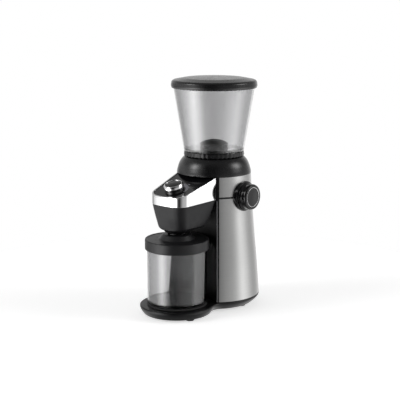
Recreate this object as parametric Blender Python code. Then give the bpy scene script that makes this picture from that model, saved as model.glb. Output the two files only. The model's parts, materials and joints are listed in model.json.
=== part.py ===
"""Conical burr coffee grinder: hopper, stainless body, dosing head, lidded container and drive train.

Metres, +Z up, the front faces -Y, and the floor is z = 0. The world origin is the centre of the
footprint; every sub-part is placed about the body axis, the vertical line through the hopper and burrs.
"""

from math import acos, asin, atan, cos, hypot, pi, radians, sin, sqrt, tan

import bmesh
import bpy

GAP = 0.0003

# Place of the body axis from the footprint's centre.
BODY_X = -0.0026
BODY_Y = 0.0406

# Body: a round tapering column, (height, outer radius) from the plinth to the top of the metal skin.
BODY_PROFILE = (
    (0.0180, 0.0777),
    (0.0740, 0.0736),
    (0.1300, 0.0684),
    (0.1900, 0.0641),
    (0.2245, 0.0623),
)
SEAM_Z = 0.1905
SEAM_WIDTH = 0.0020
SKIN_THICKNESS = 0.0010
FRAME_THICKNESS = 0.0025
CORNER_ANGLE = radians(41.8)
SKIN_EDGE_ANGLE = radians(45.0)
COLUMN_DEEPEST_Y = -0.0420
COLUMN_WALL = 0.0028
COLUMN_TOP_Z = 0.2245
GLAND_Z = 0.0340
GLAND_RADIUS = 0.0075

# Base: the outlines of a front disc and a body disc, joined.
CONTAINER_Y = -0.0975
DECK_Z = 0.0165
PLINTH_TOP_Z = 0.0177
BASE_PROFILE = (
    (0.0030, 0.0556, 0.0660),
    (0.0085, 0.0596, 0.0725),
    (0.0135, 0.0617, 0.0770),
    (0.0152, 0.0617, 0.0776),
    (0.0165, 0.0605, 0.0776),
)
BASE_WALL = 0.0026
FOOT_PLACES = (
    (0.0430, -0.1165),
    (-0.0430, -0.1165),
    (0.0560, 0.0040),
    (-0.0560, 0.0040),
    (0.0, 0.0540),
)

# Container and its lid.
CONTAINER_FLOOR_Z = 0.0194
CONTAINER_WALL = 0.0022
CONTAINER_LID_RADIUS = 0.0527
CONTAINER_LID_TOP_Z = 0.1267

# Head: the sloping panel plane and the lower edge of the bright band, both rising to the rear.
PANEL_SLOPE = 0.302
PANEL_EDGE_Z = 0.2268
BAND_FOOT_SLOPE = 0.0410
BAND_FOOT_Z = 0.1882
HEAD_REFERENCE_Y = -0.0400
BAND_WALL = 0.0026
PANEL_RECESS = 0.0018
PANEL_THICKNESS = 0.0025
HEAD_WALL = 0.0024
HEAD_FLOOR_Z = 0.1425
DIAL_Y = -0.1025

# Hopper and dome.
DOME_RADIUS = 0.0624
DOME_FOOT_Z = 0.2248
DOME_LEDGE = 0.0015
DOME_UNDERSIDE_Y = 0.0430
COLLAR_FOOT_Z = 0.2535
HOPPER_FOOT_Z = 0.2620
HOPPER_TOP_Z = 0.3685
HOPPER_WALL = 0.0022
TOTAL_HEIGHT = 0.3850

# Grind setting knob, on a horizontal axis to +X.
KNOB_Z = 0.1904
KNOB_FACE_X = 0.0827

# Drive train: two stages of 36 to 12 teeth from the motor to the burr shaft.
GEAR_MODULE = 0.0010
BIG_TEETH = 36
SMALL_TEETH = 12
CENTRE_DISTANCE = GEAR_MODULE * (BIG_TEETH + SMALL_TEETH) / 2
MOTOR_Y = 0.0300
LAYSHAFT_Y = MOTOR_Y / 2
LAYSHAFT_X = sqrt(CENTRE_DISTANCE**2 - LAYSHAFT_Y**2)
GEAR_CASE_PLACE = (0.0100, 0.0090)
GEAR_CASE_RADIUS = 0.0355
CROWN_TEETH = 72
CROWN_RADIUS = 0.0365
CROWN_PITCH_Z = KNOB_Z + GEAR_MODULE * SMALL_TEETH / 2
CROWN_BACKLASH = 0.0007

# Facets round a full turn.
BIG_FACETS = 32
MID_FACETS = 20
SMALL_FACETS = 12
SKIN_STEPS = 24


def clear_scene():
    for old in list(bpy.data.objects):
        bpy.data.objects.remove(old, do_unlink=True)


def make_material(name, colour, roughness, metallic=0.0, alpha=1.0):
    material = bpy.data.materials.new(name)
    material.use_nodes = True
    shader = material.node_tree.nodes["Principled BSDF"]
    shader.inputs["Base Color"].default_value = (*colour, 1.0)
    shader.inputs["Roughness"].default_value = roughness
    shader.inputs["Metallic"].default_value = metallic
    shader.inputs["Alpha"].default_value = alpha
    material.diffuse_color = (*colour, alpha)
    return material


def make_materials():
    return {
        "stainless": make_material("stainless", (0.58, 0.58, 0.57), 0.32, 1.0),
        "chrome": make_material("chrome", (0.80, 0.80, 0.80), 0.08, 1.0),
        "satin_black": make_material("satin_black", (0.020, 0.020, 0.021), 0.42),
        "gloss_black": make_material("gloss_black", (0.010, 0.010, 0.011), 0.12),
        "dark_grey": make_material("dark_grey", (0.060, 0.060, 0.062), 0.45),
        "smoked_clear": make_material("smoked_clear", (0.35, 0.35, 0.36), 0.08, 0.0, 0.4),
        "rubber": make_material("rubber", (0.020, 0.020, 0.020), 0.80),
        "steel": make_material("steel", (0.50, 0.50, 0.50), 0.35, 1.0),
        "brass": make_material("brass", (0.72, 0.55, 0.25), 0.35, 1.0),
        "nylon": make_material("nylon", (0.75, 0.74, 0.70), 0.55),
        "circuit": make_material("circuit", (0.03, 0.16, 0.08), 0.60),
        "copper": make_material("copper", (0.60, 0.30, 0.15), 0.40, 1.0),
    }


def skin(name, sections, material, closed=True, place=(0, 0, 0), turn=(0, 0, 0)):
    """One solid through a row of equal point loops: closed into a ring, or capped at both ends."""
    bm = bmesh.new()
    loops = [[bm.verts.new(point) for point in section] for section in sections]
    count = len(loops[0])
    pairs = list(zip(loops, loops[1:]))
    if closed:
        pairs.append((loops[-1], loops[0]))
    for first, second in pairs:
        for i in range(count):
            j = (i + 1) % count
            bm.faces.new((first[i], first[j], second[j], second[i]))
    if not closed:
        bm.faces.new(loops[0])
        bm.faces.new(loops[-1])
    bmesh.ops.remove_doubles(bm, verts=bm.verts, dist=1e-6)
    bare_edges = [edge for edge in bm.edges if not edge.link_faces]
    bmesh.ops.delete(bm, geom=bare_edges, context="EDGES")
    bmesh.ops.recalc_face_normals(bm, faces=bm.faces)
    mesh = bpy.data.meshes.new(name)
    bm.to_mesh(mesh)
    bm.free()
    mesh.shade_smooth()
    mesh.set_sharp_from_angle(angle=radians(32))
    mesh.materials.append(material)
    part = bpy.data.objects.new(name, mesh)
    bpy.context.collection.objects.link(part)
    part.parent = grinder
    part.location = place
    part.rotation_euler = turn
    return part


def at_angle(angle, section):
    """A section of (radius, height) points, stood at an angle about the local Z axis."""
    return [(r * cos(angle), r * sin(angle), z) for r, z in section]


def turned(name, profile, material, facets=MID_FACETS, place=(0, 0, 0), turn=(0, 0, 0)):
    """A turned solid from its closed (radius, height) profile."""
    sections = [at_angle(2 * pi * i / facets, profile) for i in range(facets)]
    return skin(name, sections, material, True, place, turn)


def prism(name, outline, low, high, material, place=(0, 0, 0), turn=(0, 0, 0)):
    """A straight solid of an (x, y) outline between two heights."""
    sections = [[(x, y, z) for x, y in outline] for z in (low, high)]
    return skin(name, sections, material, False, place, turn)


def block(name, low, high, material, place=(0, 0, 0), turn=(0, 0, 0)):
    corners = ((low[0], low[1]), (high[0], low[1]), (high[0], high[1]), (low[0], high[1]))
    return prism(name, corners, low[2], high[2], material, place, turn)


def hide_tool(tool):
    tool.hide_render = True
    tool.display_type = "WIRE"


def shape_with(part, tool, operation="DIFFERENCE"):
    """Cuts a tool from a part, or joins it on, with the tool kept as a hidden guide."""
    hide_tool(tool)
    modifier = part.modifiers.new(operation.title() + "_" + tool.name, "BOOLEAN")
    modifier.operation = operation
    modifier.object = tool
    modifier.solver = "EXACT"


def rod(name, radius, low, high, place, turn=(0, 0, 0), facets=SMALL_FACETS):
    """A plain round cutter or boss about its own Z axis."""
    profile = ((0, low), (radius, low), (radius, high), (0, high))
    return turned(name, profile, materials["steel"], facets, place, turn)


def along(table, z):
    """Linear reading of a (height, value) table."""
    for (z0, v0), (z1, v1) in zip(table, table[1:]):
        if z <= z1:
            return v0 + (v1 - v0) * (z - z0) / (z1 - z0)
    return table[-1][1]


def body_radius(z):
    return along(BODY_PROFILE, z)


def body_point(radius, angle_from_front, z):
    """A point at an angle from the front centre line, positive towards +X."""
    return (radius * sin(angle_from_front), -radius * cos(angle_from_front), z)


def body_levels(low, high):
    inner = [z for z, _ in BODY_PROFILE if low + 0.002 < z < high - 0.002]
    return [low, *inner, high]


def body_shell(name, low, high, inset, thickness, edge_angle, material):
    """A wall that follows the body's taper round its sides and back, from edge to edge."""
    levels = body_levels(low, high)
    sections = []
    for i in range(SKIN_STEPS + 1):
        angle = edge_angle + (2 * pi - 2 * edge_angle) * i / SKIN_STEPS
        outer = [body_point(body_radius(z) - inset, angle, z) for z in levels]
        inner = [body_point(body_radius(z) - inset - thickness, angle, z) for z in reversed(levels)]
        sections.append(outer + inner)
    return skin(name, sections, material, closed=False)


def panel_edge_z(y):
    return PANEL_EDGE_Z + PANEL_SLOPE * (y - HEAD_REFERENCE_Y)


def band_foot_z(y):
    return BAND_FOOT_Z + BAND_FOOT_SLOPE * (y - HEAD_REFERENCE_Y)


def column_face_y(x, z):
    """Depth of the hollow front face of the column: an arc through its corners and its centre line."""
    corner_x = body_radius(z) * sin(CORNER_ANGLE)
    corner_y = -body_radius(z) * cos(CORNER_ANGLE)
    rise = COLUMN_DEEPEST_Y - corner_y
    radius = (corner_x**2 + rise**2) / (2 * rise)
    return COLUMN_DEEPEST_Y - radius + sqrt(radius**2 - x**2)


def column_section(z, grow=0.0, steps=14):
    """Plan of the column cover at one height, both edges stepped in behind the trim strips."""
    radius = body_radius(z)
    corner_x = radius * sin(CORNER_ANGLE)
    front = []
    for i in range(steps + 1):
        x = -corner_x + 2 * corner_x * i / steps
        front.append((x, column_face_y(x, z) - grow, z))
    edge = radius - 0.0018
    back = radius - 0.0042
    lip = SKIN_EDGE_ANGLE - radians(0.3)
    right = [body_point(edge, CORNER_ANGLE, z), body_point(edge, lip, z), body_point(back, lip, z)]
    left = [(-x, y, z) for x, y, z in reversed(right)]
    inner_x = corner_x - 0.0025
    inner = []
    for i in range(steps + 1):
        x = inner_x - 2 * inner_x * i / steps
        inner.append((x, column_face_y(x, z) + COLUMN_WALL, z))
    return front + right + inner + left


def build_column():
    levels = body_levels(0.0169, COLUMN_TOP_Z)
    cover = skin("column_cover", [column_section(z) for z in levels], materials["gloss_black"], closed=False)
    window = block("cut_chute_window", (-0.0200, -0.0600, 0.1640), (0.0200, -0.0300, 0.2080),
                   materials["steel"])
    shape_with(cover, window)

    for side, sign in (("right", 1), ("left", -1)):
        sections = []
        for z in body_levels(PLINTH_TOP_Z + 0.0006, 0.1862):
            radius = body_radius(z)
            inside = radius - 0.0015
            outside = radius + 0.0004
            start = CORNER_ANGLE + radians(0.15)
            end = CORNER_ANGLE + radians(1.95)
            middle = (start + end) / 2
            points = (
                body_point(inside, start, z),
                body_point(outside, start, z),
                body_point(outside + 0.0003, middle, z),
                body_point(outside, end, z),
                body_point(inside, end, z),
            )
            sections.append([(sign * x, y, z) for x, y, z in points])
        skin("trim_strip_" + side, sections, materials["dark_grey"], closed=False)


def build_body_skins():
    half_seam = SEAM_WIDTH / 2
    lower = body_shell("lower_sleeve", PLINTH_TOP_Z + GAP, SEAM_Z - half_seam, 0.0, SKIN_THICKNESS,
                       SKIN_EDGE_ANGLE, materials["stainless"])
    upper = body_shell("upper_sleeve", SEAM_Z + half_seam, DOME_FOOT_Z - GAP, 0.0, SKIN_THICKNESS,
                       SKIN_EDGE_ANGLE, materials["stainless"])
    frame = body_shell("body_frame", PLINTH_TOP_Z + GAP, DOME_FOOT_Z - GAP, SKIN_THICKNESS + GAP,
                       FRAME_THICKNESS, SKIN_EDGE_ANGLE + radians(0.3), materials["satin_black"])
    for part in (lower, upper, frame):
        hole = rod("cut_knob_hole_" + part.name, 0.0060, 0.0450, 0.0700, (0, 0, KNOB_Z), (0, pi / 2, 0))
        shape_with(part, hole)
    gland_place = (0, 0, GLAND_Z)
    gland_turn = (-pi / 2, 0, 0)
    for part in (lower, frame):
        hole = rod("cut_gland_hole_" + part.name, 0.0052, 0.0650, 0.0850, gland_place, gland_turn)
        shape_with(part, hole)
    rear = body_radius(GLAND_Z - GLAND_RADIUS) + GAP
    gland_profile = ((0.0030, 0.0700), (0.0049, 0.0700), (0.0049, rear), (GLAND_RADIUS, rear),
                     (GLAND_RADIUS - 0.0006, rear + 0.0018), (0.0030, rear + 0.0018))
    turned("cable_gland", gland_profile, materials["rubber"], SMALL_FACETS, gland_place, gland_turn)


def base_outline(front_radius, body_outline_radius, z, front_steps=18, body_steps=24):
    """The joined outline of the front disc and the body disc, anticlockwise from above."""
    reach = -CONTAINER_Y
    along_axis = (reach**2 + body_outline_radius**2 - front_radius**2) / (2 * reach)
    half = sqrt(body_outline_radius**2 - along_axis**2)
    body_start = asin(half / body_outline_radius)
    front_start = acos((reach - along_axis) / front_radius)
    points = []
    for i in range(body_steps + 1):
        angle = body_start + (2 * pi - 2 * body_start) * i / body_steps
        points.append(body_point(body_outline_radius, angle, z))
    for i in range(1, front_steps):
        angle = front_start + (2 * pi - 2 * front_start) * i / front_steps
        points.append((-front_radius * sin(angle), CONTAINER_Y + front_radius * cos(angle), z))
    return points


def build_base():
    wall = BASE_WALL
    middle = (0, CONTAINER_Y / 2)
    outer = [base_outline(front, body, z) for z, front, body in BASE_PROFILE]
    inner = [base_outline(front - wall, body - wall, z) for z, front, body in BASE_PROFILE[:3]]
    roof = DECK_Z - wall
    inner[-1] = [(x, y, roof) for x, y, _ in inner[-1]]
    sections = []
    for i in range(len(outer[0])):
        column = [level[i] for level in outer]
        column.append((*middle, DECK_Z))
        column.append((*middle, roof))
        column.extend(level[i] for level in reversed(inner))
        sections.append(column)
    base = skin("base", sections, materials["satin_black"])

    plinth_sections = []
    for z in (DECK_Z - 0.0010, PLINTH_TOP_Z):
        radius = BODY_PROFILE[0][1] - 0.0001
        lip = SKIN_EDGE_ANGLE - radians(0.3)
        arc = [lip + (2 * pi - 2 * lip) * i / SKIN_STEPS for i in range(SKIN_STEPS + 1)]
        rim = [body_point(radius, angle, z) for angle in arc]
        inside = [body_point(radius - 0.0060, angle, z) for angle in reversed(arc)]
        plinth_sections.append(rim + inside)
    plinth = skin("join_plinth", plinth_sections, materials["satin_black"], closed=False)
    shape_with(base, plinth, "UNION")

    shrink = wall + 0.0006
    _, front, body = BASE_PROFILE[0]
    plate_outline = [(x, y) for x, y, _ in base_outline(front - shrink, body - shrink, 0)]
    plate = prism("base_plate", plate_outline, 0.0032, 0.0052, materials["satin_black"])
    for i in range(6):
        x = -0.0250 + 0.0100 * i
        slot = block("cut_vent_slot_" + str(i + 1), (x - 0.0022, -0.0300, 0.0), (x + 0.0022, 0.0150, 0.0090),
                     materials["steel"])
        shape_with(plate, slot)

    foot_profile = ((0, 0), (0.0066, 0), (0.0072, 0.0010), (0.0072, 0.0032 - GAP), (0, 0.0032 - GAP))
    for number, (x, y) in enumerate(FOOT_PLACES, 1):
        turned("foot_" + str(number), foot_profile, materials["rubber"], SMALL_FACETS, (x, y, 0))

    screw_profile = ((0, 0.0012), (0.0028, 0.0012), (0.0034, 0.0020), (0.0034, 0.0032 - GAP),
                     (0.0015, 0.0032 - GAP), (0.0015, 0.0120), (0, 0.0120))
    number = 0
    for x, y in ((0.0300, -0.1000), (0.0420, 0.0300)):
        for sign in (1, -1):
            number += 1
            place = (sign * x, y, 0)
            turned("base_screw_" + str(number), screw_profile, materials["steel"], 12, place)
            hole = rod("cut_screw_hole_" + str(number), 0.0019, 0, 0.0090, place, facets=12)
            shape_with(plate, hole)

    mat_profile = ((0, DECK_Z + GAP), (0.0495, DECK_Z + GAP), (0.0495, DECK_Z + 0.0014),
                   (0.0483, CONTAINER_FLOOR_Z - GAP), (0, CONTAINER_FLOOR_Z - GAP))
    turned("container_mat", mat_profile, materials["rubber"], BIG_FACETS, (0, CONTAINER_Y, 0))


def build_container():
    wall = CONTAINER_WALL
    low = CONTAINER_FLOOR_Z
    top = 0.1225
    jar_profile = (
        (0, low), (0.0440, low), (0.0476, low + 0.0014), (0.0490, low + 0.0050), (0.0495, 0.1010),
        (0.0496, top), (0.0496 - wall, top), (0.0495 - wall, 0.1010), (0.0488 - wall, low + 0.0060),
        (0.0468 - wall, low + 0.0030), (0.0420, low + wall), (0, low + wall),
    )
    turned("container", jar_profile, materials["smoked_clear"], BIG_FACETS, (0, CONTAINER_Y, 0))

    top = CONTAINER_LID_TOP_Z
    rim = CONTAINER_LID_RADIUS
    lid_profile = (
        (rim - 0.0006, 0.1095), (rim, 0.1105), (rim, top - 0.0018), (rim - 0.0018, top),
        (0.0290, top), (0.0236, 0.1346), (0.0150, 0.1346),
        (0.0150, 0.1215), (0.0168, 0.1215), (0.0176, 0.1318), (0.0224, 0.1318), (0.0268, 0.1240),
        (0.0500, 0.1240), (0.0500, 0.1095),
    )
    turned("container_lid", lid_profile, materials["dark_grey"], BIG_FACETS, (0, CONTAINER_Y, 0))


def fillet(previous, corner, following, radius, steps=4):
    """Points of the arc that rounds one corner of an outline."""
    ax, ay = previous[0] - corner[0], previous[1] - corner[1]
    bx, by = following[0] - corner[0], following[1] - corner[1]
    la, lb = hypot(ax, ay), hypot(bx, by)
    ax, ay, bx, by = ax / la, ay / la, bx / lb, by / lb
    half = acos(ax * bx + ay * by) / 2
    setback = radius / tan(half)
    start = (corner[0] + ax * setback, corner[1] + ay * setback)
    end = (corner[0] + bx * setback, corner[1] + by * setback)
    distance = radius / sin(half)
    mx, my = ax + bx, ay + by
    lm = hypot(mx, my)
    centre = (corner[0] + mx / lm * distance, corner[1] + my / lm * distance)
    points = []
    for i in range(steps + 1):
        share = i / steps
        x = start[0] + (end[0] - start[0]) * share - centre[0]
        y = start[1] + (end[1] - start[1]) * share - centre[1]
        size = hypot(x, y)
        points.append((centre[0] + x / size * radius, centre[1] + y / size * radius))
    return points


def head_sides(front_half, front_y, bow, rear_half, rear_y, radius):
    """Right side, rounded corner, bowed front, rounded corner and left side of the head, from above."""
    def front_edge(x):
        return (x, front_y - bow * (1 - (x / front_half) ** 2))

    steps = 6
    corner = (front_half, front_y)
    right = fillet((rear_half, rear_y), corner, front_edge(0.7 * front_half), radius)
    left = [(-x, y) for x, y in reversed(right)]
    reach = right[-1][0]
    middle = [front_edge(reach * (1 - 2 * i / steps)) for i in range(1, steps)]
    return [(rear_half, rear_y), *right, *middle, *left, (-rear_half, rear_y)]


def head_rear(rear_half, rear_y, hollow, steps=8):
    """The rear edge of the head, bowed to follow the column's hollow face."""
    points = []
    for i in range(1, steps):
        share = -1 + 2 * i / steps
        points.append((rear_half * share, rear_y + hollow * (1 - share**2)))
    return points


def build_head():
    band_outer = head_sides(0.0353, -0.1252, 0.0045, 0.0420, -0.0483, 0.0130)
    wall = BAND_WALL
    band_inner = head_sides(0.0353 - wall, -0.1252 + wall, 0.0045, 0.0420 - wall, -0.0483, 0.0104)
    band_plan = band_outer + band_inner[::-1]
    band_levels = (
        [(x, y, band_foot_z(y) + GAP) for x, y in band_plan],
        [(x, y, panel_edge_z(y)) for x, y in band_plan],
    )
    skin("chrome_band", band_levels, materials["chrome"], closed=False)

    inset = wall + GAP
    panel_plan = head_sides(0.0353 - inset, -0.1252 + inset, 0.0045, 0.0420 - inset, -0.0483, 0.0101)
    panel_levels = []
    for depth in (PANEL_RECESS + PANEL_THICKNESS, PANEL_RECESS):
        panel_levels.append([(x, y, panel_edge_z(y) - depth) for x, y in panel_plan])
    panel = skin("control_panel", panel_levels, materials["gloss_black"], closed=False)
    stem_hole = rod("cut_stem_hole", 0.0040, -0.0100, 0.0100, dial_place(), dial_turn())
    shape_with(panel, stem_hole)

    # (height, front half width, front y, front bow, rear half width, rear y, rear hollow)
    stations = (
        (HEAD_FLOOR_Z, 0.0259, -0.1138, 0.0070, 0.0265, -0.0665, 0.0000),
        (0.1470, 0.0301, -0.1153, 0.0055, 0.0318, -0.0620, 0.0005),
        (0.1660, 0.0323, -0.1201, 0.0050, 0.0368, -0.0552, 0.0030),
        (None, 0.0349, -0.1248, 0.0045, 0.0416, -0.0487, 0.0058),
    )
    outer = [head_station(*station, 0.0) for station in stations]
    inner = [head_station(*station, HEAD_WALL) for station in stations]
    inner[0] = [(x, y, HEAD_FLOOR_Z + HEAD_WALL) for x, y, _ in inner[0]]
    sections = []
    centre = (0, -0.0900)
    for i in range(len(outer[0])):
        column = [(*centre, HEAD_FLOOR_Z)]
        column.extend(level[i] for level in outer)
        column.extend(level[i] for level in reversed(inner))
        column.append((*centre, HEAD_FLOOR_Z + HEAD_WALL))
        sections.append(column)
    housing = skin("head_housing", sections, materials["dark_grey"])
    spout_hole = rod("cut_spout_hole", 0.0150, 0.1300, 0.1480, (0, CONTAINER_Y, 0), (0, 0, 0.03), MID_FACETS)
    shape_with(housing, spout_hole)
    window = block("cut_rear_window", (-0.0140, -0.0720, 0.1600), (0.0140, -0.0400, 0.1920),
                   materials["steel"])
    shape_with(housing, window)

    spout_profile = (
        (0.0120, 0.1356), (0.0146, 0.1356), (0.0176, 0.1372), (0.0208, 0.1396),
        (0.0216, HEAD_FLOOR_Z - GAP), (0.0146, HEAD_FLOOR_Z - GAP), (0.0146, 0.1560), (0.0140, 0.1560),
        (0.0120, 0.1500),
    )
    turned("spout", spout_profile, materials["satin_black"], MID_FACETS, (0, CONTAINER_Y, 0))


def head_station(height, front_half, front_y, bow, rear_half, rear_y, hollow, inset):
    """One level of the head housing; the top level has no height and follows the band's lower edge."""
    radius = 0.0126 if inset == 0 else 0.0104
    sides = head_sides(front_half - inset, front_y + inset, bow, rear_half - inset, rear_y - inset, radius)
    plan = sides + head_rear(rear_half - inset, rear_y - inset, hollow)
    if height is None:
        return [(x, y, band_foot_z(y)) for x, y in plan]
    return [(x, y, height) for x, y in plan]


def duct_section(half_width, low, high):
    """A rectangular loop across the chute, given by its lower and upper (y, z) edges."""
    return [
        (-half_width, *low), (half_width, *low), (half_width, *high), (-half_width, *high),
    ]


def build_chute():
    """The duct that carries grounds forward from the burr chamber and down into the spout."""
    wall = 0.0015
    # (lower edge, upper edge) of the duct's bore in (y, z), from the burr chamber to the spout.
    bore = (
        ((-0.0312, 0.1815), (-0.0312, 0.1925)),
        ((-0.0600, 0.1700), (-0.0560, 0.1820)),
        ((-0.0850, 0.1600), (-0.0860, 0.1740)),
        ((-0.0862, 0.1570), (-0.1085, 0.1570)),
    )
    outside = (
        ((-0.0312, 0.1800), (-0.0312, 0.1940)),
        ((-0.0592, 0.1687), (-0.0566, 0.1835)),
        ((-0.0836, 0.1590), (-0.0872, 0.1755)),
        ((-0.0847, 0.1570), (-0.1100, 0.1570)),
    )
    sections = []
    inner = [duct_section(0.0110, *edges) for edges in bore]
    outer = [duct_section(0.0110 + wall, *edges) for edges in outside]
    for i in range(4):
        column = [level[i] for level in outer]
        column.extend(level[i] for level in reversed(inner))
        sections.append(column)
    skin("grounds_chute", sections, materials["satin_black"])


def dial_place(height=0.0):
    """A point on the dial's axis, at a height above the panel's face."""
    tilt = atan(PANEL_SLOPE)
    face_z = panel_edge_z(DIAL_Y) - PANEL_RECESS
    return (0, DIAL_Y - sin(tilt) * height, face_z + cos(tilt) * height)


def dial_turn():
    return (atan(PANEL_SLOPE), 0, 0)


def build_dial():
    place = dial_place()
    turn = dial_turn()
    base_profile = (
        (0.0036, -0.0090), (0.0036, GAP), (0.0163, GAP), (0.0166, 0.0012), (0.0158, 0.0042),
        (0.0118, 0.0042), (0.0118, 0.0030), (0.0020, 0.0030), (0.0020, -0.0090),
    )
    turned("quantity_dial", base_profile, materials["gloss_black"], MID_FACETS, place, turn)
    ring_profile = (
        (0.0118, 0.0042 + GAP), (0.0158, 0.0042 + GAP), (0.0165, 0.0078), (0.0160, 0.0114),
        (0.0142, 0.0138), (0.0123, 0.0136), (0.0118, 0.0128),
    )
    turned("dial_ring", ring_profile, materials["chrome"], MID_FACETS, place, turn)
    button_profile = (
        (0, 0.0055), (0.0114, 0.0055), (0.0114, 0.0128), (0.0106, 0.0134), (0.0070, 0.0124), (0, 0.0118),
    )
    turned("start_button", button_profile, materials["satin_black"], MID_FACETS, place, turn)
    block("dial_encoder", (-0.0065, -0.0065, -0.0160), (0.0065, 0.0065, -0.0094),
          materials["steel"], place, turn)
    block("dial_board", (-0.0180, -0.0120, -0.0180), (0.0180, 0.0160, -0.0164),
          materials["circuit"], place, turn)


def build_dome():
    """The black upper housing; at the front its flat underside reaches in over the sloping panel."""
    outer = ((0.0623, 0.2275), (0.0610, 0.2325), (0.0581, 0.2412), (0.0528, 0.2492), (0.0500, 0.2522))
    inner = ((0.0476, 0.2522), (0.0476, 0.2490), (0.0500, 0.2484), (0.0552, 0.2405), (0.0582, 0.2318),
             (0.0594, 0.2275))
    ledge_top = DOME_FOOT_Z + DOME_LEDGE
    sections = []
    for i in range(BIG_FACETS):
        angle = 2 * pi * i / BIG_FACETS
        reach = DOME_RADIUS - 0.0038
        if -sin(angle) > cos(CORNER_ANGLE):
            reach = DOME_UNDERSIDE_Y / -sin(angle)
        ledge = ((DOME_RADIUS - 0.0030, ledge_top), (reach, ledge_top), (reach, DOME_FOOT_Z))
        sections.append(at_angle(angle, ((DOME_RADIUS, DOME_FOOT_Z), *outer, *inner, *ledge)))
    skin("top_housing", sections, materials["satin_black"])

    # The ring turns with the hopper; its raised cam at the rear holds the safety switch pressed.
    sections = []
    for i in range(MID_FACETS):
        angle = 2 * pi * i / MID_FACETS
        cam = 0.0445 if abs(angle - pi / 2) < radians(20) else 0.0430
        sections.append(at_angle(angle, (
            (0.0395, 0.2340), (cam, 0.2340), (cam, 0.2380), (0.0470, 0.2380), (0.0470, 0.2472),
            (0.0457, 0.2472), (0.0457, 0.2400), (0.0395, 0.2400),
        )))
    skin("interlock_ring", sections, materials["nylon"])
    block("interlock_switch", (-0.0060, 0.0448, 0.2290), (0.0060, 0.0520, 0.2370), materials["satin_black"])


def build_hopper():
    ribs = 20
    sections = []
    for i in range(2 * ribs):
        angle = pi * i / ribs
        rim = 0.0514 if i % 2 else 0.0506
        foot = COLLAR_FOOT_Z + (0.0006 if i % 2 else 0.0)
        sections.append(at_angle(angle, (
            (0.0446, 0.2405), (0.0446, 0.2525), (0.0475, foot), (rim, foot), (rim - 0.0010, 0.2610),
            (0.0490, HOPPER_FOOT_Z - GAP), (0.0420, HOPPER_FOOT_Z - GAP), (0.0420, 0.2405),
        )))
    skin("hopper_collar", sections, materials["satin_black"])

    wall = HOPPER_WALL
    foot = HOPPER_FOOT_Z
    top = HOPPER_TOP_Z
    funnel_profile = (
        (0.0250, foot), (0.0498, foot), (0.0508, foot + 0.0016), (0.0684, top), (0.0662, top),
        (0.0509 - wall, foot + 0.0050), (0.0476, foot + 0.0030), (0.0250, foot + wall),
    )
    turned("hopper", funnel_profile, materials["smoked_clear"], BIG_FACETS)

    guard_profile = (
        (0.0212, 0.2420), (0.0230, 0.2420), (0.0230, 0.2500), (0.0416, 0.2570), (0.0416, 0.2590),
        (0.0236, 0.2610), (0.0224, 0.2712), (0.0240, 0.2719), (0.0236, 0.2732), (0.0190, 0.2763),
        (0.0110, 0.2790), (0, 0.2800), (0, 0.2780), (0.0106, 0.2771), (0.0178, 0.2746), (0.0207, 0.2722),
        (0.0212, 0.2600),
    )
    guard = turned("hopper_feed_guard", guard_profile, materials["dark_grey"], MID_FACETS)
    for number, (half_x, half_y) in enumerate(((0.0060, 0.0300), (0.0300, 0.0060)), 1):
        window = block("cut_guard_window_" + str(number), (-half_x, -half_y, 0.2660),
                       (half_x, half_y, 0.2708), materials["steel"])
        shape_with(guard, window)

    lid_top = TOTAL_HEIGHT
    lid_profile = (
        (0.0694, 0.3668), (0.0714, 0.3668), (0.0722, 0.3705), (0.0708, 0.3775), (0.0680, 0.3796),
        (0.0500, 0.3830), (0, lid_top), (0, lid_top - 0.0024), (0.0626, 0.3789), (0.0626, 0.3668),
        (0.0646, 0.3668), (0.0652, 0.3688), (0.0694, 0.3688),
    )
    turned("hopper_lid", lid_profile, materials["satin_black"], BIG_FACETS)


def build_knob():
    place = (0, 0, KNOB_Z)
    turn = (0, pi / 2, 0)
    bezel_profile = ((0.0062, 0.0560), (0.0250, 0.0560), (0.0250, 0.0668), (0.0240, 0.0682), (0.0062, 0.0682))
    bezel = turned("knob_bezel", bezel_profile, materials["gloss_black"], MID_FACETS, place, turn)
    levels = body_levels(0.1500, DOME_FOOT_Z)
    core_profile = [(body_radius(z) + GAP, z) for z in levels]
    core_profile = [(0, levels[0]), *core_profile, (0, levels[-1])]
    shape_with(bezel, turned("cut_body_core", core_profile, materials["steel"], 60))

    face = KNOB_FACE_X
    knob_profile = (
        (0.0035, 0.0686), (0.0228, 0.0686), (0.0228, 0.0700), (0.0208, 0.0730),
        (0.0214, 0.0800), (0.0200, face), (0.0175, face - 0.0004),
        (0.0175, face - 0.0020), (0.0159, face - 0.0020), (0.0159, face - 0.0008),
        (0, face - 0.0016), (0, 0.0760), (0.0035, 0.0760),
    )
    turned("grind_knob", knob_profile, materials["gloss_black"], MID_FACETS, place, turn)
    ring_profile = ((0.0162, face - 0.0017), (0.0172, face - 0.0017), (0.0172, face - 0.0001),
                    (0.0162, face - 0.0003))
    turned("knob_ring", ring_profile, materials["chrome"], MID_FACETS, place, turn)

    # The knob's shaft carries the pinion that turns the crown teeth of the adjuster ring.
    pinion = prism("knob_pinion", gear_outline(SMALL_TEETH, 0.5), 0.0340, 0.0390, materials["brass"],
                   place, turn)
    shape_with(pinion, rod("join_knob_shaft", 0.0032, 0.0330, 0.0755, place, turn), "UNION")


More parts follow.
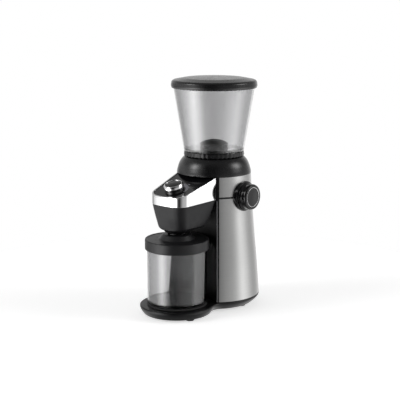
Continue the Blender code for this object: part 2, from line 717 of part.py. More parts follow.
def gear_outline(teeth, phase=0.0, backlash=0.00024):
    """A toothed outline; phase 0 sets a tooth on +X, and phase 0.5 sets a gap there."""
    pitch = GEAR_MODULE * teeth / 2
    tip = pitch + 0.9 * GEAR_MODULE
    root = pitch - 1.15 * GEAR_MODULE
    half_pitch_angle = (pi * GEAR_MODULE / 2 - backlash) / (2 * pitch)
    slope = tan(radians(20))
    tip_half = half_pitch_angle - slope * (tip - pitch) / tip
    root_half = half_pitch_angle + 0.6 * slope * (pitch - root) / root
    points = []
    for i in range(teeth):
        centre = 2 * pi * (i + phase) / teeth
        for radius, offset in ((root, -root_half), (tip, -tip_half), (tip, tip_half), (root, root_half)):
            points.append((radius * cos(centre + offset), radius * sin(centre + offset)))
    return points


def mesh_phase(teeth, direction, tooth_there):
    """Phase that sets a tooth, or a gap, towards a direction from the gear's own axis."""
    phase = direction * teeth / (2 * pi)
    return phase if tooth_there else phase + 0.5


def build_burrs():
    # Adjuster ring: crown teeth underneath on the side of the knob, and a threaded sleeve above.
    pitch_angle = 2 * pi / CROWN_TEETH
    half_teeth = 6
    tooth_half = (pi * GEAR_MODULE / 2 - CROWN_BACKLASH) / (2 * CROWN_RADIUS)
    slope = tan(radians(20))
    tip_z = CROWN_PITCH_Z - 0.7 * GEAR_MODULE
    root_z = CROWN_PITCH_Z + 1.15 * GEAR_MODULE
    tip_half = tooth_half - slope * (CROWN_PITCH_Z - tip_z) / CROWN_RADIUS
    root_half = tooth_half + slope * (root_z - CROWN_PITCH_Z) / CROWN_RADIUS
    columns = []
    for tooth in range(-half_teeth, half_teeth + 1):
        centre = tooth * pitch_angle
        for offset, z in ((-root_half, root_z), (-tip_half, tip_z), (tip_half, tip_z), (root_half, root_z)):
            columns.append((centre + offset, z))
    sector = (half_teeth + 0.5) * pitch_angle
    plain = 14
    for i in range(plain + 1):
        columns.append((sector + (2 * pi - 2 * sector) * i / plain, root_z))
    sections = []
    for angle, z in columns:
        sections.append(at_angle(angle, (
            (0.0345, z), (0.0385, z), (0.0385, 0.2020), (0.0352, 0.2020), (0.0352, 0.2240),
            (0.0320, 0.2240), (0.0320, root_z + 0.0004), (0.0345, root_z + 0.0002),
        )))
    skin("adjuster_ring", sections, materials["nylon"])

    carrier_profile = (
        (0.0263, 0.2000), (0.0312, 0.2000), (0.0312, 0.2220), (0.0235, 0.2220), (0.0190, 0.2160),
        (0.0190, 0.2136), (0.0263, 0.2136),
    )
    turned("burr_carrier", carrier_profile, materials["nylon"])
    outer_burr_profile = ((0.0212, 0.2010), (0.0260, 0.2010), (0.0260, 0.2132), (0.0156, 0.2132),
                          (0.0150, 0.2110))
    turned("outer_burr", outer_burr_profile, materials["steel"])

    flutes = 12
    sections = []
    cone = ((0.0190, 0.2000), (0.0193, 0.2020), (0.0142, 0.2098), (0.0090, 0.2176))
    for i in range(2 * flutes):
        depth = 0.0 if i % 2 else 0.0011
        section = [(0.0043, 0.2000)]
        section.extend((r - depth, z) for r, z in cone)
        section.append((0.0043, 0.2176))
        twisted = []
        for r, z in section:
            angle = pi * i / flutes + (z - 0.2000) * 30
            twisted.append((r * cos(angle), r * sin(angle), z))
        sections.append(twisted)
    skin("inner_burr", sections, materials["steel"])

    shaft_profile = ((0, 0.1455), (0.0040, 0.1455), (0.0040, 0.2200), (0.0025, 0.2225), (0, 0.2225))
    turned("burr_shaft", shaft_profile, materials["steel"], SMALL_FACETS)

    blades = 4
    sections = []
    for blade in range(blades):
        centre = 2 * pi * blade / blades
        for offset, top in ((-0.14, 0.1850), (-0.10, 0.1910), (0.10, 0.1910), (0.14, 0.1850),
                            (0.40, 0.1850), (0.78, 0.1850), (1.16, 0.1850)):
            section = ((0.0043, 0.1830), (0.0260, 0.1830), (0.0260, top), (0.0043, top))
            sections.append(at_angle(centre + offset, section))
    skin("impeller", sections, materials["nylon"])

    chamber_profile = (
        (0.0052, 0.1790), (0.0120, 0.1760), (0.0160, 0.1760), (0.0160, 0.1790), (0.0300, 0.1790),
        (0.0300, 0.1940), (0.0275, 0.1940), (0.0275, 0.1815), (0.0052, 0.1815),
    )
    chamber = turned("burr_chamber", chamber_profile, materials["satin_black"])
    outlet = block("cut_chamber_outlet", (-0.0105, -0.0330, 0.1825), (0.0105, -0.0230, 0.1925),
                   materials["steel"])
    shape_with(chamber, outlet)


def build_drive():
    main_to_layshaft = asin(LAYSHAFT_Y / CENTRE_DISTANCE)
    motor_to_layshaft = -main_to_layshaft

    outline = gear_outline(BIG_TEETH, mesh_phase(BIG_TEETH, main_to_layshaft, True))
    output_gear = prism("output_gear", outline, 0.1570, 0.1650, materials["steel"])
    shape_with(output_gear, rod("cut_output_bore", 0.0043, 0.1500, 0.1700, (0, 0, 0)))

    place = (LAYSHAFT_X, LAYSHAFT_Y, 0)
    outline = gear_outline(BIG_TEETH, mesh_phase(BIG_TEETH, pi + motor_to_layshaft, True))
    layshaft_gear = prism("layshaft_gear", outline, 0.1476, 0.1536, materials["nylon"], place)
    shape_with(layshaft_gear, rod("cut_layshaft_bore", 0.0033, 0.1450, 0.1560, place))
    outline = gear_outline(SMALL_TEETH, mesh_phase(SMALL_TEETH, pi + main_to_layshaft, False))
    layshaft = prism("layshaft", outline, 0.1540, 0.1668, materials["steel"], place)
    shape_with(layshaft, rod("join_layshaft_rod", 0.0030, 0.1446, 0.1712, place), "UNION")

    place = (0, MOTOR_Y, 0)
    outline = gear_outline(SMALL_TEETH, mesh_phase(SMALL_TEETH, motor_to_layshaft, False))
    pinion = prism("motor_pinion", outline, 0.1470, 0.1545, materials["brass"], place)
    shape_with(pinion, rod("cut_pinion_bore", 0.0028, 0.1450, 0.1560, place))
    rotor_profile = (
        (0, 0.0700), (0.0025, 0.0700), (0.0025, 0.0850), (0.0120, 0.0850), (0.0120, 0.1250),
        (0.0025, 0.1250), (0.0025, 0.1550), (0, 0.1550),
    )
    turned("motor_rotor", rotor_profile, materials["copper"], SMALL_FACETS, place)
    can_profile = (
        (0.0032, 0.0785), (0.0220, 0.0785), (0.0220, 0.1395), (0.0032, 0.1395), (0.0032, 0.1375),
        (0.0134, 0.1350), (0.0134, 0.0830), (0.0032, 0.0805),
    )
    turned("motor_can", can_profile, materials["steel"], MID_FACETS, place)
    sections = []
    blades = 8
    for blade in range(blades):
        centre = 2 * pi * blade / blades
        for offset, top in ((-0.12, 0.0725), (-0.06, 0.0770), (0.06, 0.0770), (0.12, 0.0725)):
            section = ((0.0028, 0.0710), (0.0200, 0.0710), (0.0200, top), (0.0028, top))
            sections.append(at_angle(centre + offset, section))
    skin("motor_fan", sections, materials["nylon"], place=place)

    case_x, case_y = GEAR_CASE_PLACE
    outside = GEAR_CASE_RADIUS
    inside = outside - 0.0025
    tub_profile = ((0, 0.1400), (outside, 0.1400), (outside, 0.1720), (inside, 0.1720),
                   (inside, 0.1430), (0, 0.1430))
    tub = turned("gearbox_housing", tub_profile, materials["satin_black"], place=(case_x, case_y, 0))
    shape_with(tub, rod("cut_motor_hole", 0.0045, 0.1300, 0.1450, (0, MOTOR_Y, 0)))
    cover_profile = ((0, 0.1723), (outside, 0.1723), (outside, 0.1748), (0, 0.1748))
    cover = turned("gearbox_cover", cover_profile, materials["satin_black"], place=(case_x, case_y, 0))
    shape_with(cover, rod("cut_bearing_seat", 0.0083, 0.1700, 0.1760, (0, 0, 0)))
    bearing_profile = ((0.0043, 0.1700), (0.0080, 0.1700), (0.0080, 0.1748), (0.0043, 0.1748))
    turned("shaft_bearing", bearing_profile, materials["steel"], SMALL_FACETS)
    block("control_board", (-0.0300, -0.0330, 0.0350), (0.0300, -0.0314, 0.1150), materials["circuit"])


clear_scene()
materials = make_materials()
grinder = bpy.data.objects.new("grinder", None)
bpy.context.collection.objects.link(grinder)
grinder.location = (BODY_X, BODY_Y, 0)
build_base()
build_body_skins()
build_column()
build_container()
build_head()
build_chute()
build_dial()
build_dome()
build_hopper()
build_knob()
build_burrs()
build_drive()
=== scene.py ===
import json
from math import acos, atan2, cos, hypot, pi, radians, sin, sqrt, tan

import bmesh
import bpy
from mathutils import Matrix, Vector

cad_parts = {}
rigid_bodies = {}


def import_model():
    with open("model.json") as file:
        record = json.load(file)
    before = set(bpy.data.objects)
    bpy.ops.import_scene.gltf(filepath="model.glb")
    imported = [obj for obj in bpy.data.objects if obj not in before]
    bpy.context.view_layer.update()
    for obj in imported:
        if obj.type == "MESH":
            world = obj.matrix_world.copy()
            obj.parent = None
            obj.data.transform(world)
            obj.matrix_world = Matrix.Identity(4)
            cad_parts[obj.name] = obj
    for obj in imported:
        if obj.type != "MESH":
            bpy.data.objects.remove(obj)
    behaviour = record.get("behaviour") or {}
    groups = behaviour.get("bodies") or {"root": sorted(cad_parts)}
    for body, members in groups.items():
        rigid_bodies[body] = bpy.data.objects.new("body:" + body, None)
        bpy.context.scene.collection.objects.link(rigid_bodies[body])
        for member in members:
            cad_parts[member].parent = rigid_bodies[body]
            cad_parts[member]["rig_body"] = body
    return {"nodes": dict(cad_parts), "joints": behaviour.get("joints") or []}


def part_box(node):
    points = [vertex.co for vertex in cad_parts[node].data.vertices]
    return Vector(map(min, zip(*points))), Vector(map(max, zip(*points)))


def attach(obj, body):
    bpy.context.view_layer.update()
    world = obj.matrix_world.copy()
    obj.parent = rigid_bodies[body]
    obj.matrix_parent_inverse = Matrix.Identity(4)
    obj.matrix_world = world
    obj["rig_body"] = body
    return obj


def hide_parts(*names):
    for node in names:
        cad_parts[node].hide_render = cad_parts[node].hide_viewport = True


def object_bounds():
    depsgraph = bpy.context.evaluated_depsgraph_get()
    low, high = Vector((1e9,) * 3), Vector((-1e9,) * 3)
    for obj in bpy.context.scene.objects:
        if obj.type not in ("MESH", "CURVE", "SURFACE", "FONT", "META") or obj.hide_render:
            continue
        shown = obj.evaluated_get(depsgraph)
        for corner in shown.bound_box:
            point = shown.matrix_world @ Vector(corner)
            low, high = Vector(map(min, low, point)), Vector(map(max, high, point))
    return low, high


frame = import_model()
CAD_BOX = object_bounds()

TURNS = 144
FINE_TURNS = 192

# Points closer than the first are one point; faces smaller than the second are dropped.
MERGE_DISTANCE = 2e-6
LEAST_FACE = 1e-7
# A fillet skips corners this near to straight or folded, and takes up to this share of an edge.
FLAT_CORNER = 0.02
SETBACK_SHARE = 0.48
# Angles between faces, in degrees: sharper edges are shaded as edges, and are bevelled.
SHARP_ANGLE = 38.0
BEVEL_ANGLE = 32.0
BEVEL_SEGMENTS = 2


# ---- places read from the frame

def low(node):
    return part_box(node)[0]


def high(node):
    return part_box(node)[1]


def middle(node):
    return (low(node) + high(node)) / 2


def half_width(node):
    return (high(node).x - low(node).x) / 2


BODY_AXIS = Vector((middle("hopper").x, middle("hopper").y, 0))
JAR_AXIS = Vector((middle("container").x, middle("container").y, 0))
JAR_Y = JAR_AXIS.y - BODY_AXIS.y
KNOB_AXIS = Vector((BODY_AXIS.x, BODY_AXIS.y, middle("grind_knob").z))
ON_BODY = Matrix.Translation(BODY_AXIS)
ON_JAR = Matrix.Translation(JAR_AXIS)
ON_KNOB = Matrix.Translation(KNOB_AXIS) @ Matrix.Rotation(pi / 2, 4, "Y")
ON_GLAND = (ON_BODY @ Matrix.Translation((0, 0, middle("cable_gland").z))
            @ Matrix.Rotation(-pi / 2, 4, "X"))

DIAL_JOINT = next(joint for joint in frame["joints"] if joint["name"] == "dial_turn")
DIAL_FACE = Vector(DIAL_JOINT["pos_m"])
DIAL_NORMAL = Vector(DIAL_JOINT["axis"]).normalized()
DIAL_TILT = atan2(-DIAL_NORMAL.y, DIAL_NORMAL.z)
PANEL_SLOPE = tan(DIAL_TILT)
ON_DIAL = Matrix.Translation(DIAL_FACE) @ Matrix.Rotation(DIAL_TILT, 4, "X")


def below(node):
    """The place on the ground under the middle of a node."""
    return Matrix.Translation((middle(node).x, middle(node).y, 0))


# ---- mesh helpers

def swept(centre, radius, start, sweep, numbers, steps):
    """The numbered points, of steps, on the arc that sweeps on from the start angle."""
    return [(centre[0] + radius * cos(start + sweep * i / steps),
             centre[1] + radius * sin(start + sweep * i / steps)) for i in numbers]


def short_way(start, end):
    """The turn from one angle to another, the shorter way round."""
    return (end - start + pi) % (2 * pi) - pi


def fillet(before, corner, after, radius, steps):
    """Points of the arc that rounds one corner, its setback kept inside both neighbouring edges."""
    ax, ay = before[0] - corner[0], before[1] - corner[1]
    bx, by = after[0] - corner[0], after[1] - corner[1]
    la, lb = hypot(ax, ay), hypot(bx, by)
    ax, ay, bx, by = ax / la, ay / la, bx / lb, by / lb
    half = acos(max(-1.0, min(1.0, ax * bx + ay * by))) / 2
    if half < FLAT_CORNER or half > pi / 2 - FLAT_CORNER:
        return [(corner[0], corner[1])] * (steps + 1)
    setback = min(radius / tan(half), SETBACK_SHARE * la, SETBACK_SHARE * lb)
    radius = setback * tan(half)
    sx, sy = corner[0] + ax * setback, corner[1] + ay * setback
    ex, ey = corner[0] + bx * setback, corner[1] + by * setback
    mx, my = ax + bx, ay + by
    lm = hypot(mx, my)
    distance = radius / sin(half)
    cx, cy = corner[0] + mx / lm * distance, corner[1] + my / lm * distance
    start, end = atan2(sy - cy, sx - cx), atan2(ey - cy, ex - cx)
    return swept((cx, cy), radius, start, short_way(start, end), range(steps + 1), steps)


def rounded(points, steps=5):
    """An outline of (a, b) or (a, b, fillet radius) points with its corners rounded."""
    outline = []
    for i, point in enumerate(points):
        if len(point) > 2:
            after = points[(i + 1) % len(points)]
            outline.extend(fillet(points[i - 1], point, after, point[2], steps))
        else:
            outline.append(point)
    return outline


def spline(table, t):
    """Smooth reading of rows (t, values...) by Catmull-Rom curves."""
    rows = len(table)
    i = max(0, min(rows - 2, sum(1 for row in table if row[0] <= t) - 1))
    p1, p2 = table[i], table[i + 1]
    p0 = table[i - 1] if i > 0 else p1
    p3 = table[i + 2] if i + 2 < rows else p2
    span = p2[0] - p1[0]
    u = (t - p1[0]) / span
    out = []
    for k in range(1, len(p1)):
        m1 = (p2[k] - p0[k]) / (p2[0] - p0[0]) * span
        m2 = (p3[k] - p1[k]) / (p3[0] - p1[0]) * span
        out.append((2 * u**3 - 3 * u**2 + 1) * p1[k] + (u**3 - 2 * u**2 + u) * m1
                   + (3 * u**2 - 2 * u**3) * p2[k] + (u**3 - u**2) * m2)
    return out


def mesh_of(name, sections, closed, place):
    """A solid through rows of equal point loops, closed into a ring or capped at both ends."""
    bm = bmesh.new()
    loops = [[bm.verts.new(point) for point in section] for section in sections]
    count = len(loops[0])
    pairs = list(zip(loops, loops[1:]))
    if closed:
        pairs.append((loops[-1], loops[0]))
    for first, second in pairs:
        for i in range(count):
            j = (i + 1) % count
            bm.faces.new((first[i], first[j], second[j], second[i]))
    if not closed:
        bm.faces.new(loops[0])
        bm.faces.new(loops[-1])
    bmesh.ops.remove_doubles(bm, verts=bm.verts, dist=MERGE_DISTANCE)
    bmesh.ops.dissolve_degenerate(bm, dist=LEAST_FACE, edges=bm.edges)
    bare = [edge for edge in bm.edges if not edge.link_faces]
    bmesh.ops.delete(bm, geom=bare, context="EDGES")
    bmesh.ops.recalc_face_normals(bm, faces=bm.faces)
    bmesh.ops.transform(bm, matrix=place, verts=bm.verts)
    mesh = bpy.data.meshes.new(name)
    bm.to_mesh(mesh)
    bm.free()
    return mesh


def object_of(name, mesh):
    made = bpy.data.objects.new(name, mesh)
    bpy.context.scene.collection.objects.link(made)
    return made


def at(z, outline):
    return [(x, y, z) for x, y in outline]


def lofted(name, sections, place=ON_BODY, closed=False):
    return object_of(name, mesh_of(name, sections, closed, place))


def spun(turns, section_at):
    """Sections round the vertical axis; section_at(angle) gives the (radius, height) points."""
    sections = []
    for i in range(turns):
        angle = 2 * pi * i / turns
        sections.append([(r * cos(angle), r * sin(angle), z) for r, z in section_at(angle)])
    return sections


def turned(name, profile, place, turns=TURNS, steps=5):
    """A turned solid from (radius, height) or (radius, height, fillet radius) points."""
    outline = rounded(profile, steps)
    return lofted(name, spun(turns, lambda angle: outline), place, closed=True)


def bake_modifiers(piece):
    graph = bpy.context.evaluated_depsgraph_get()
    mesh = bpy.data.meshes.new_from_object(piece.evaluated_get(graph))
    piece.modifiers.clear()
    piece.data = mesh


def shaped(piece, tools, operation="DIFFERENCE"):
    """Cuts tools from a piece, or joins them to it, and removes the tools."""
    for tool in tools:
        modifier = piece.modifiers.new("shape", "BOOLEAN")
        modifier.operation = operation
        modifier.object = tool
        modifier.solver = "EXACT"
    bake_modifiers(piece)
    for tool in tools:
        bpy.data.objects.remove(tool, do_unlink=True)


def bevelled(piece, width):
    modifier = piece.modifiers.new("edges", "BEVEL")
    modifier.width = width
    modifier.segments = BEVEL_SEGMENTS
    modifier.limit_method = "ANGLE"
    modifier.angle_limit = radians(BEVEL_ANGLE)
    modifier.harden_normals = False
    bake_modifiers(piece)


def finished(piece, material, *nodes, smooth=SHARP_ANGLE):
    """Shades a piece, gives it its material, and lets it stand for its CAD nodes on their body."""
    mesh = piece.data
    mesh.shade_smooth()
    mesh.set_sharp_from_angle(angle=radians(smooth))
    mesh.materials.clear()
    mesh.materials.append(material)
    weighted = piece.modifiers.new("even_shading", "WEIGHTED_NORMAL")
    weighted.keep_sharp = True
    weighted.weight = 60
    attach(piece, frame["nodes"][nodes[0]]["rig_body"])
    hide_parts(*nodes)


def block(name, lows, highs, place=ON_BODY):
    corners = ((lows[0], lows[1]), (highs[0], lows[1]), (highs[0], highs[1]), (lows[0], highs[1]))
    return lofted(name, [at(z, corners) for z in (lows[2], highs[2])], place)


def rod(name, radius, bottom, top, place, turns=48):
    return turned(name, ((0, bottom), (radius, bottom), (radius, top), (0, top)), place, turns)


# ---- materials

# The range noise mostly keeps to, and the sizes of the patterns.
NOISE_RANGE = (0.3, 0.7)
FLOW_CLOUD = 0.03
GLOSS_PATCH = 0.009
MOULD_WAVE = 0.022
WAVE_DEPTH = 3e-5
SMUDGE_SIZE = 0.02
STAIN_SIZE = 0.006
# Brush strokes: length, pitch and share in the grain, laid round a mean radius of the skin.
BRUSH_STROKES = ((0.045, 0.00042, 0.65), (0.012, 0.0009, 0.35))
SKIN_RADIUS = 0.07


def blank(name, colour, roughness, metallic=0.0):
    material = bpy.data.materials.new(name)
    material.use_nodes = True
    shader = material.node_tree.nodes["Principled BSDF"]
    shader.inputs["Base Color"].default_value = (*colour, 1.0)
    shader.inputs["Roughness"].default_value = roughness
    shader.inputs["Metallic"].default_value = metallic
    return material, material.node_tree, shader


def add(tree, kind, inputs=None, **settings):
    made = tree.nodes.new("ShaderNode" + kind)
    for key, value in settings.items():
        setattr(made, key, value)
    for key, value in (inputs or {}).items():
        if isinstance(value, bpy.types.NodeSocket):
            tree.links.new(value, made.inputs[key])
        else:
            made.inputs[key].default_value = value
    return made


def object_point(tree):
    return add(tree, "TexCoord").outputs["Object"]


def axes(tree, vector):
    return add(tree, "SeparateXYZ", {"Vector": vector}).outputs


def axes_from(tree, centre):
    away = add(tree, "VectorMath", {0: object_point(tree), 1: tuple(centre)}, operation="SUBTRACT")
    return axes(tree, away.outputs[0])


def noise(tree, vector, size, detail=2.0, rough=0.5):
    inputs = {"Vector": vector, "Scale": 1.0 / size, "Detail": detail, "Roughness": rough}
    return add(tree, "TexNoise", inputs).outputs["Fac"]


def remap(tree, value, low_in, high_in, low_out=0.0, high_out=1.0, kind="LINEAR"):
    inputs = {"Value": value, "From Min": low_in, "From Max": high_in,
              "To Min": low_out, "To Max": high_out}
    return add(tree, "MapRange", inputs, interpolation_type=kind).outputs["Result"]


def stretched(tree, pattern, low_out=0.0, high_out=1.0):
    """Maps the range that a noise pattern mostly keeps to onto the given one."""
    return remap(tree, pattern, *NOISE_RANGE, low_out, high_out)


def maths(tree, operation, first, second=0.0, third=0.0):
    return add(tree, "Math", {0: first, 1: second, 2: third}, operation=operation).outputs[0]


def binary(operation):
    return lambda tree, first, second: maths(tree, operation, first, second)


plus, minus, times, over = map(binary, ("ADD", "SUBTRACT", "MULTIPLY", "DIVIDE"))


def drive(tree, shader, name, value):
    tree.links.new(value, shader.inputs[name])


def blend_colour(tree, share, first, second):
    made = add(tree, "Mix", {"Factor": share}, data_type="RGBA")
    for socket, value in ((made.inputs[6], first), (made.inputs[7], second)):
        if isinstance(value, bpy.types.NodeSocket):
            tree.links.new(value, socket)
        else:
            socket.default_value = (*value, 1.0)
    return made.outputs[2]


def from_centre(tree, across, along):
    squares = [maths(tree, "POWER", value, 2.0) for value in (across, along)]
    return maths(tree, "SQRT", plus(tree, *squares))


def mottled(tree, shader, share, colour, spread):
    """Lets the base colour drift round its mean by the given spread."""
    dark = [c * (1 - spread) for c in colour]
    pale = [min(1.0, c * (1 + spread)) for c in colour]
    drive(tree, shader, "Base Color", blend_colour(tree, share, dark, pale))


def bump(tree, shader, height, depth, under=None):
    inputs = {"Height": height, "Strength": 1.0, "Distance": depth}
    if under is not None:
        inputs["Normal"] = under
    made = add(tree, "Bump", inputs).outputs[0]
    drive(tree, shader, "Normal", made)
    return made


def plastic(name, colour, roughness, grain=0.0005, depth=4e-6, spread=0.1, vary=0.04,
            specular=0.5):
    """Moulded plastic: faint flow clouds in its colour, uneven gloss, and a spark-eroded grain."""
    material, tree, shader = blank(name, colour, roughness)
    point = object_point(tree)
    mottled(tree, shader, stretched(tree, noise(tree, point, FLOW_CLOUD, 3.0)), colour, spread)
    patches = noise(tree, point, GLOSS_PATCH, 4.0, 0.6)
    drive(tree, shader, "Roughness", stretched(tree, patches, roughness - vary, roughness + vary))
    waves = bump(tree, shader, noise(tree, point, MOULD_WAVE, 1.0), WAVE_DEPTH)
    bump(tree, shader, noise(tree, point, grain), depth, waves)
    shader.inputs["Specular IOR Level"].default_value = specular
    return material


def brushed_steel(name, colour, roughness):
    """Sheet steel brushed round the body: long fine strokes that follow the curve."""
    material, tree, shader = blank(name, colour, roughness, 1.0)
    place = object_point(tree)
    parts = axes_from(tree, BODY_AXIS)
    girth = times(tree, maths(tree, "ARCTAN2", parts["X"], parts["Y"]), SKIN_RADIUS)
    layers = []
    for length, pitch, share in BRUSH_STROKES:
        vector = add(tree, "CombineXYZ", {"X": over(tree, girth, length),
                                          "Y": over(tree, parts["Z"], pitch)}).outputs[0]
        layers.append(times(tree, noise(tree, vector, 1.0, 3.0, 0.6), share))
    grain = plus(tree, *layers)
    smudges = noise(tree, place, SMUDGE_SIZE, 4.0, 0.6)
    mottled(tree, shader, stretched(tree, grain), colour, 0.07)
    uneven = plus(tree, times(tree, grain, 0.1), times(tree, smudges, 0.07))
    drive(tree, shader, "Roughness", plus(tree, uneven, roughness - 0.085))
    bump(tree, shader, grain, 6e-6)
    return material


def glassy(tree, shader, colour, roughness, haze, wave, depth):
    """A near-mirror surface with hazy patches and the faintest ripple."""
    point = object_point(tree)
    pattern = noise(tree, point, haze, 4.0, 0.6)
    mottled(tree, shader, pattern, colour, 0.02)
    drive(tree, shader, "Roughness", stretched(tree, pattern, *roughness))
    bump(tree, shader, noise(tree, point, wave, 1.0), depth)


def polished(name, colour, roughness):
    """Plated metal, mirror bright."""
    material, tree, shader = blank(name, colour, roughness, 1.0)
    glassy(tree, shader, colour, (roughness * 0.7, roughness * 1.4), 0.008, 0.012, 1e-5)
    return material


def smoked(name, colour, coat, roughness=0.03):
    """Clear smoke-tinted moulding under a thin glossy coat."""
    material, tree, shader = blank(name, colour, roughness)
    shader.inputs["Transmission Weight"].default_value = 1.0
    shader.inputs["IOR"].default_value = 1.49
    glassy(tree, shader, colour, (roughness * 0.5, roughness * 1.6), 0.012, 0.03, WAVE_DEPTH)
    shader.inputs["Coat Weight"].default_value = coat
    shader.inputs["Coat Roughness"].default_value = 0.03
    return material


def machined(name, colour, roughness, centre=None, pitch=0.0004):
    """Turned or cut metal, with tool marks in rings round its axis, or an even fine grain."""
    material, tree, shader = blank(name, colour, roughness, 1.0)
    place = object_point(tree)
    stains = stretched(tree, noise(tree, place, STAIN_SIZE, 4.0, 0.6))
    mottled(tree, shader, stains, colour, 0.12)
    drive(tree, shader, "Roughness",
          remap(tree, stains, 0.0, 1.0, roughness - 0.06, roughness + 0.1))
    if centre is None:
        height = noise(tree, place, pitch)
    else:
        parts = axes_from(tree, centre)
        ring = over(tree, from_centre(tree, parts["X"], parts["Y"]), pitch)
        rings = add(tree, "CombineXYZ", {"X": ring, "Y": over(tree, parts["Z"], pitch)})
        height = noise(tree, rings.outputs[0], 1.0)
    bump(tree, shader, height, 8e-6)
    return material


steel_skin = brushed_steel("brushed_steel", (0.52, 0.52, 0.515), 0.32)
chrome = polished("chrome", (0.86, 0.86, 0.865), 0.06)
satin_black = plastic("satin_black", (0.0055, 0.0055, 0.006), 0.26)
deep_black = plastic("deep_black", (0.004, 0.004, 0.0045), 0.34, grain=0.0004,
                     depth=8e-6, specular=0.28)
gloss_black = plastic("gloss_black", (0.0045, 0.0045, 0.005), 0.12, grain=0.004, depth=4e-6,
                      vary=0.03)
dark_grey = plastic("dark_grey", (0.01, 0.01, 0.011), 0.42, specular=0.24)
lid_grey = plastic("lid_grey", (0.01, 0.01, 0.011), 0.4, specular=0.36)
grey_trim = machined("grey_trim", (0.62, 0.62, 0.62), 0.3)
grey_bead = plastic("grey_bead", (0.1, 0.1, 0.105), 0.3)
smoke_hopper = smoked("smoke_hopper", (0.64, 0.64, 0.645), 0.6)
smoke_jar = smoked("smoke_jar", (0.58, 0.58, 0.585), 0.5)
black_rubber = plastic("black_rubber", (0.018, 0.018, 0.018), 0.78, grain=0.0006, depth=3e-5,
                       spread=0.2, vary=0.06)
bare_steel = machined("bare_steel", (0.52, 0.52, 0.51), 0.3)
shaft_steel = machined("shaft_steel", (0.55, 0.55, 0.54), 0.28, BODY_AXIS)
cut_brass = machined("cut_brass", (0.7, 0.52, 0.24), 0.3)
pale_nylon = plastic("pale_nylon", (0.66, 0.65, 0.6), 0.5, spread=0.05)
board_green = plastic("board_green", (0.02, 0.11, 0.05), 0.4, grain=0.0012, spread=0.25)
wound_copper = machined("wound_copper", (0.6, 0.3, 0.16), 0.35,
                        (BODY_AXIS.x, BODY_AXIS.y + 0.03, 0), 0.0008)


# ---- body skins and base

# Height and outer radius of the metal skin.
TAPER = ((0.018, 0.0777), (0.074, 0.0736), (0.13, 0.0684), (0.19, 0.0641), (0.2245, 0.0623))
STEEL_THICKNESS = 0.001
FRAME_INSET, FRAME_THICKNESS = 0.0013, 0.0025
# Angles from the front centre line: the skin's front edges, how far they draw back on the way up,
# the gap beside them, and the corners of the column.
SKIN_EDGE = radians(45.0)
SKIN_EDGE_TURN = radians(1.4)
EDGE_GAP = radians(0.3)
COVER_LIP = SKIN_EDGE - EDGE_GAP
CORNER = radians(41.8)
COLUMN_DEEPEST = -0.042
PLINTH_TOP = low("lower_sleeve").z
SKIN_TOP = high("upper_sleeve").z
DOME_FOOT = SKIN_TOP + 0.0003
DECK_Z = 0.0165


def body_radius(z):
    (foot, widest), (top, narrowest) = TAPER[0], TAPER[-1]
    if z <= foot:
        return widest
    return spline(TAPER, z)[0] if z < top else narrowest


def round_body(radius, angle, z):
    return (radius * sin(angle), -radius * cos(angle), z)


def heights(bottom, top, step=0.008):
    count = max(1, round((top - bottom) / step))
    return [bottom + (top - bottom) * i / count for i in range(count + 1)]


def shell(name, bottom, top, inset, thickness, edge, edge_turn=0.0, turns=150):
    """A wall round the sides and back; edge_turn draws its front edges back towards the top."""
    levels = heights(bottom, top)
    sections = []
    for i in range(turns + 1):
        def angle(z):
            start = edge + edge_turn * (z - TAPER[0][0]) / (TAPER[-1][0] - TAPER[0][0])
            return start + (2 * pi - 2 * start) * i / turns

        section = [round_body(body_radius(z) - inset, angle(z), z) for z in levels]
        section += [round_body(body_radius(z) - inset - thickness, angle(z), z)
                    for z in reversed(levels)]
        sections.append(section)
    return lofted(name, sections)


def build_skins():
    seam_low, seam_high = high("lower_sleeve").z - 0.0005, low("upper_sleeve").z + 0.0004
    edges = (SKIN_EDGE, SKIN_EDGE_TURN)
    lower = shell("steel_body", PLINTH_TOP, seam_low, 0.0, STEEL_THICKNESS, *edges)
    upper = shell("steel_collar", seam_high, SKIN_TOP, 0.0, STEEL_THICKNESS, *edges)
    inner = shell("inner_frame", PLINTH_TOP, SKIN_TOP, FRAME_INSET, FRAME_THICKNESS,
                  SKIN_EDGE + EDGE_GAP)
    # The knob's shaft passes through all three, the gland through two of them.
    for piece in (lower, upper, inner):
        tools = [rod("tool", 0.006, 0.045, 0.07, ON_KNOB)]
        if piece is not upper:
            tools.append(rod("tool", 0.0052, 0.065, 0.085, ON_GLAND))
        shaped(piece, tools)
    for piece, node in ((lower, "lower_sleeve"), (upper, "upper_sleeve")):
        bevelled(piece, 0.00035)
        finished(piece, steel_skin, node)
    finished(inner, satin_black, "body_frame")


def column_depth(x, z):
    """The y of the column's hollowed front, an arc between its corners."""
    radius = body_radius(z)
    corner_x, corner_y = radius * sin(CORNER), -radius * cos(CORNER)
    rise = COLUMN_DEEPEST - corner_y
    hollow = (corner_x**2 + rise**2) / (2 * rise)
    return COLUMN_DEEPEST - hollow + sqrt(hollow**2 - x**2)


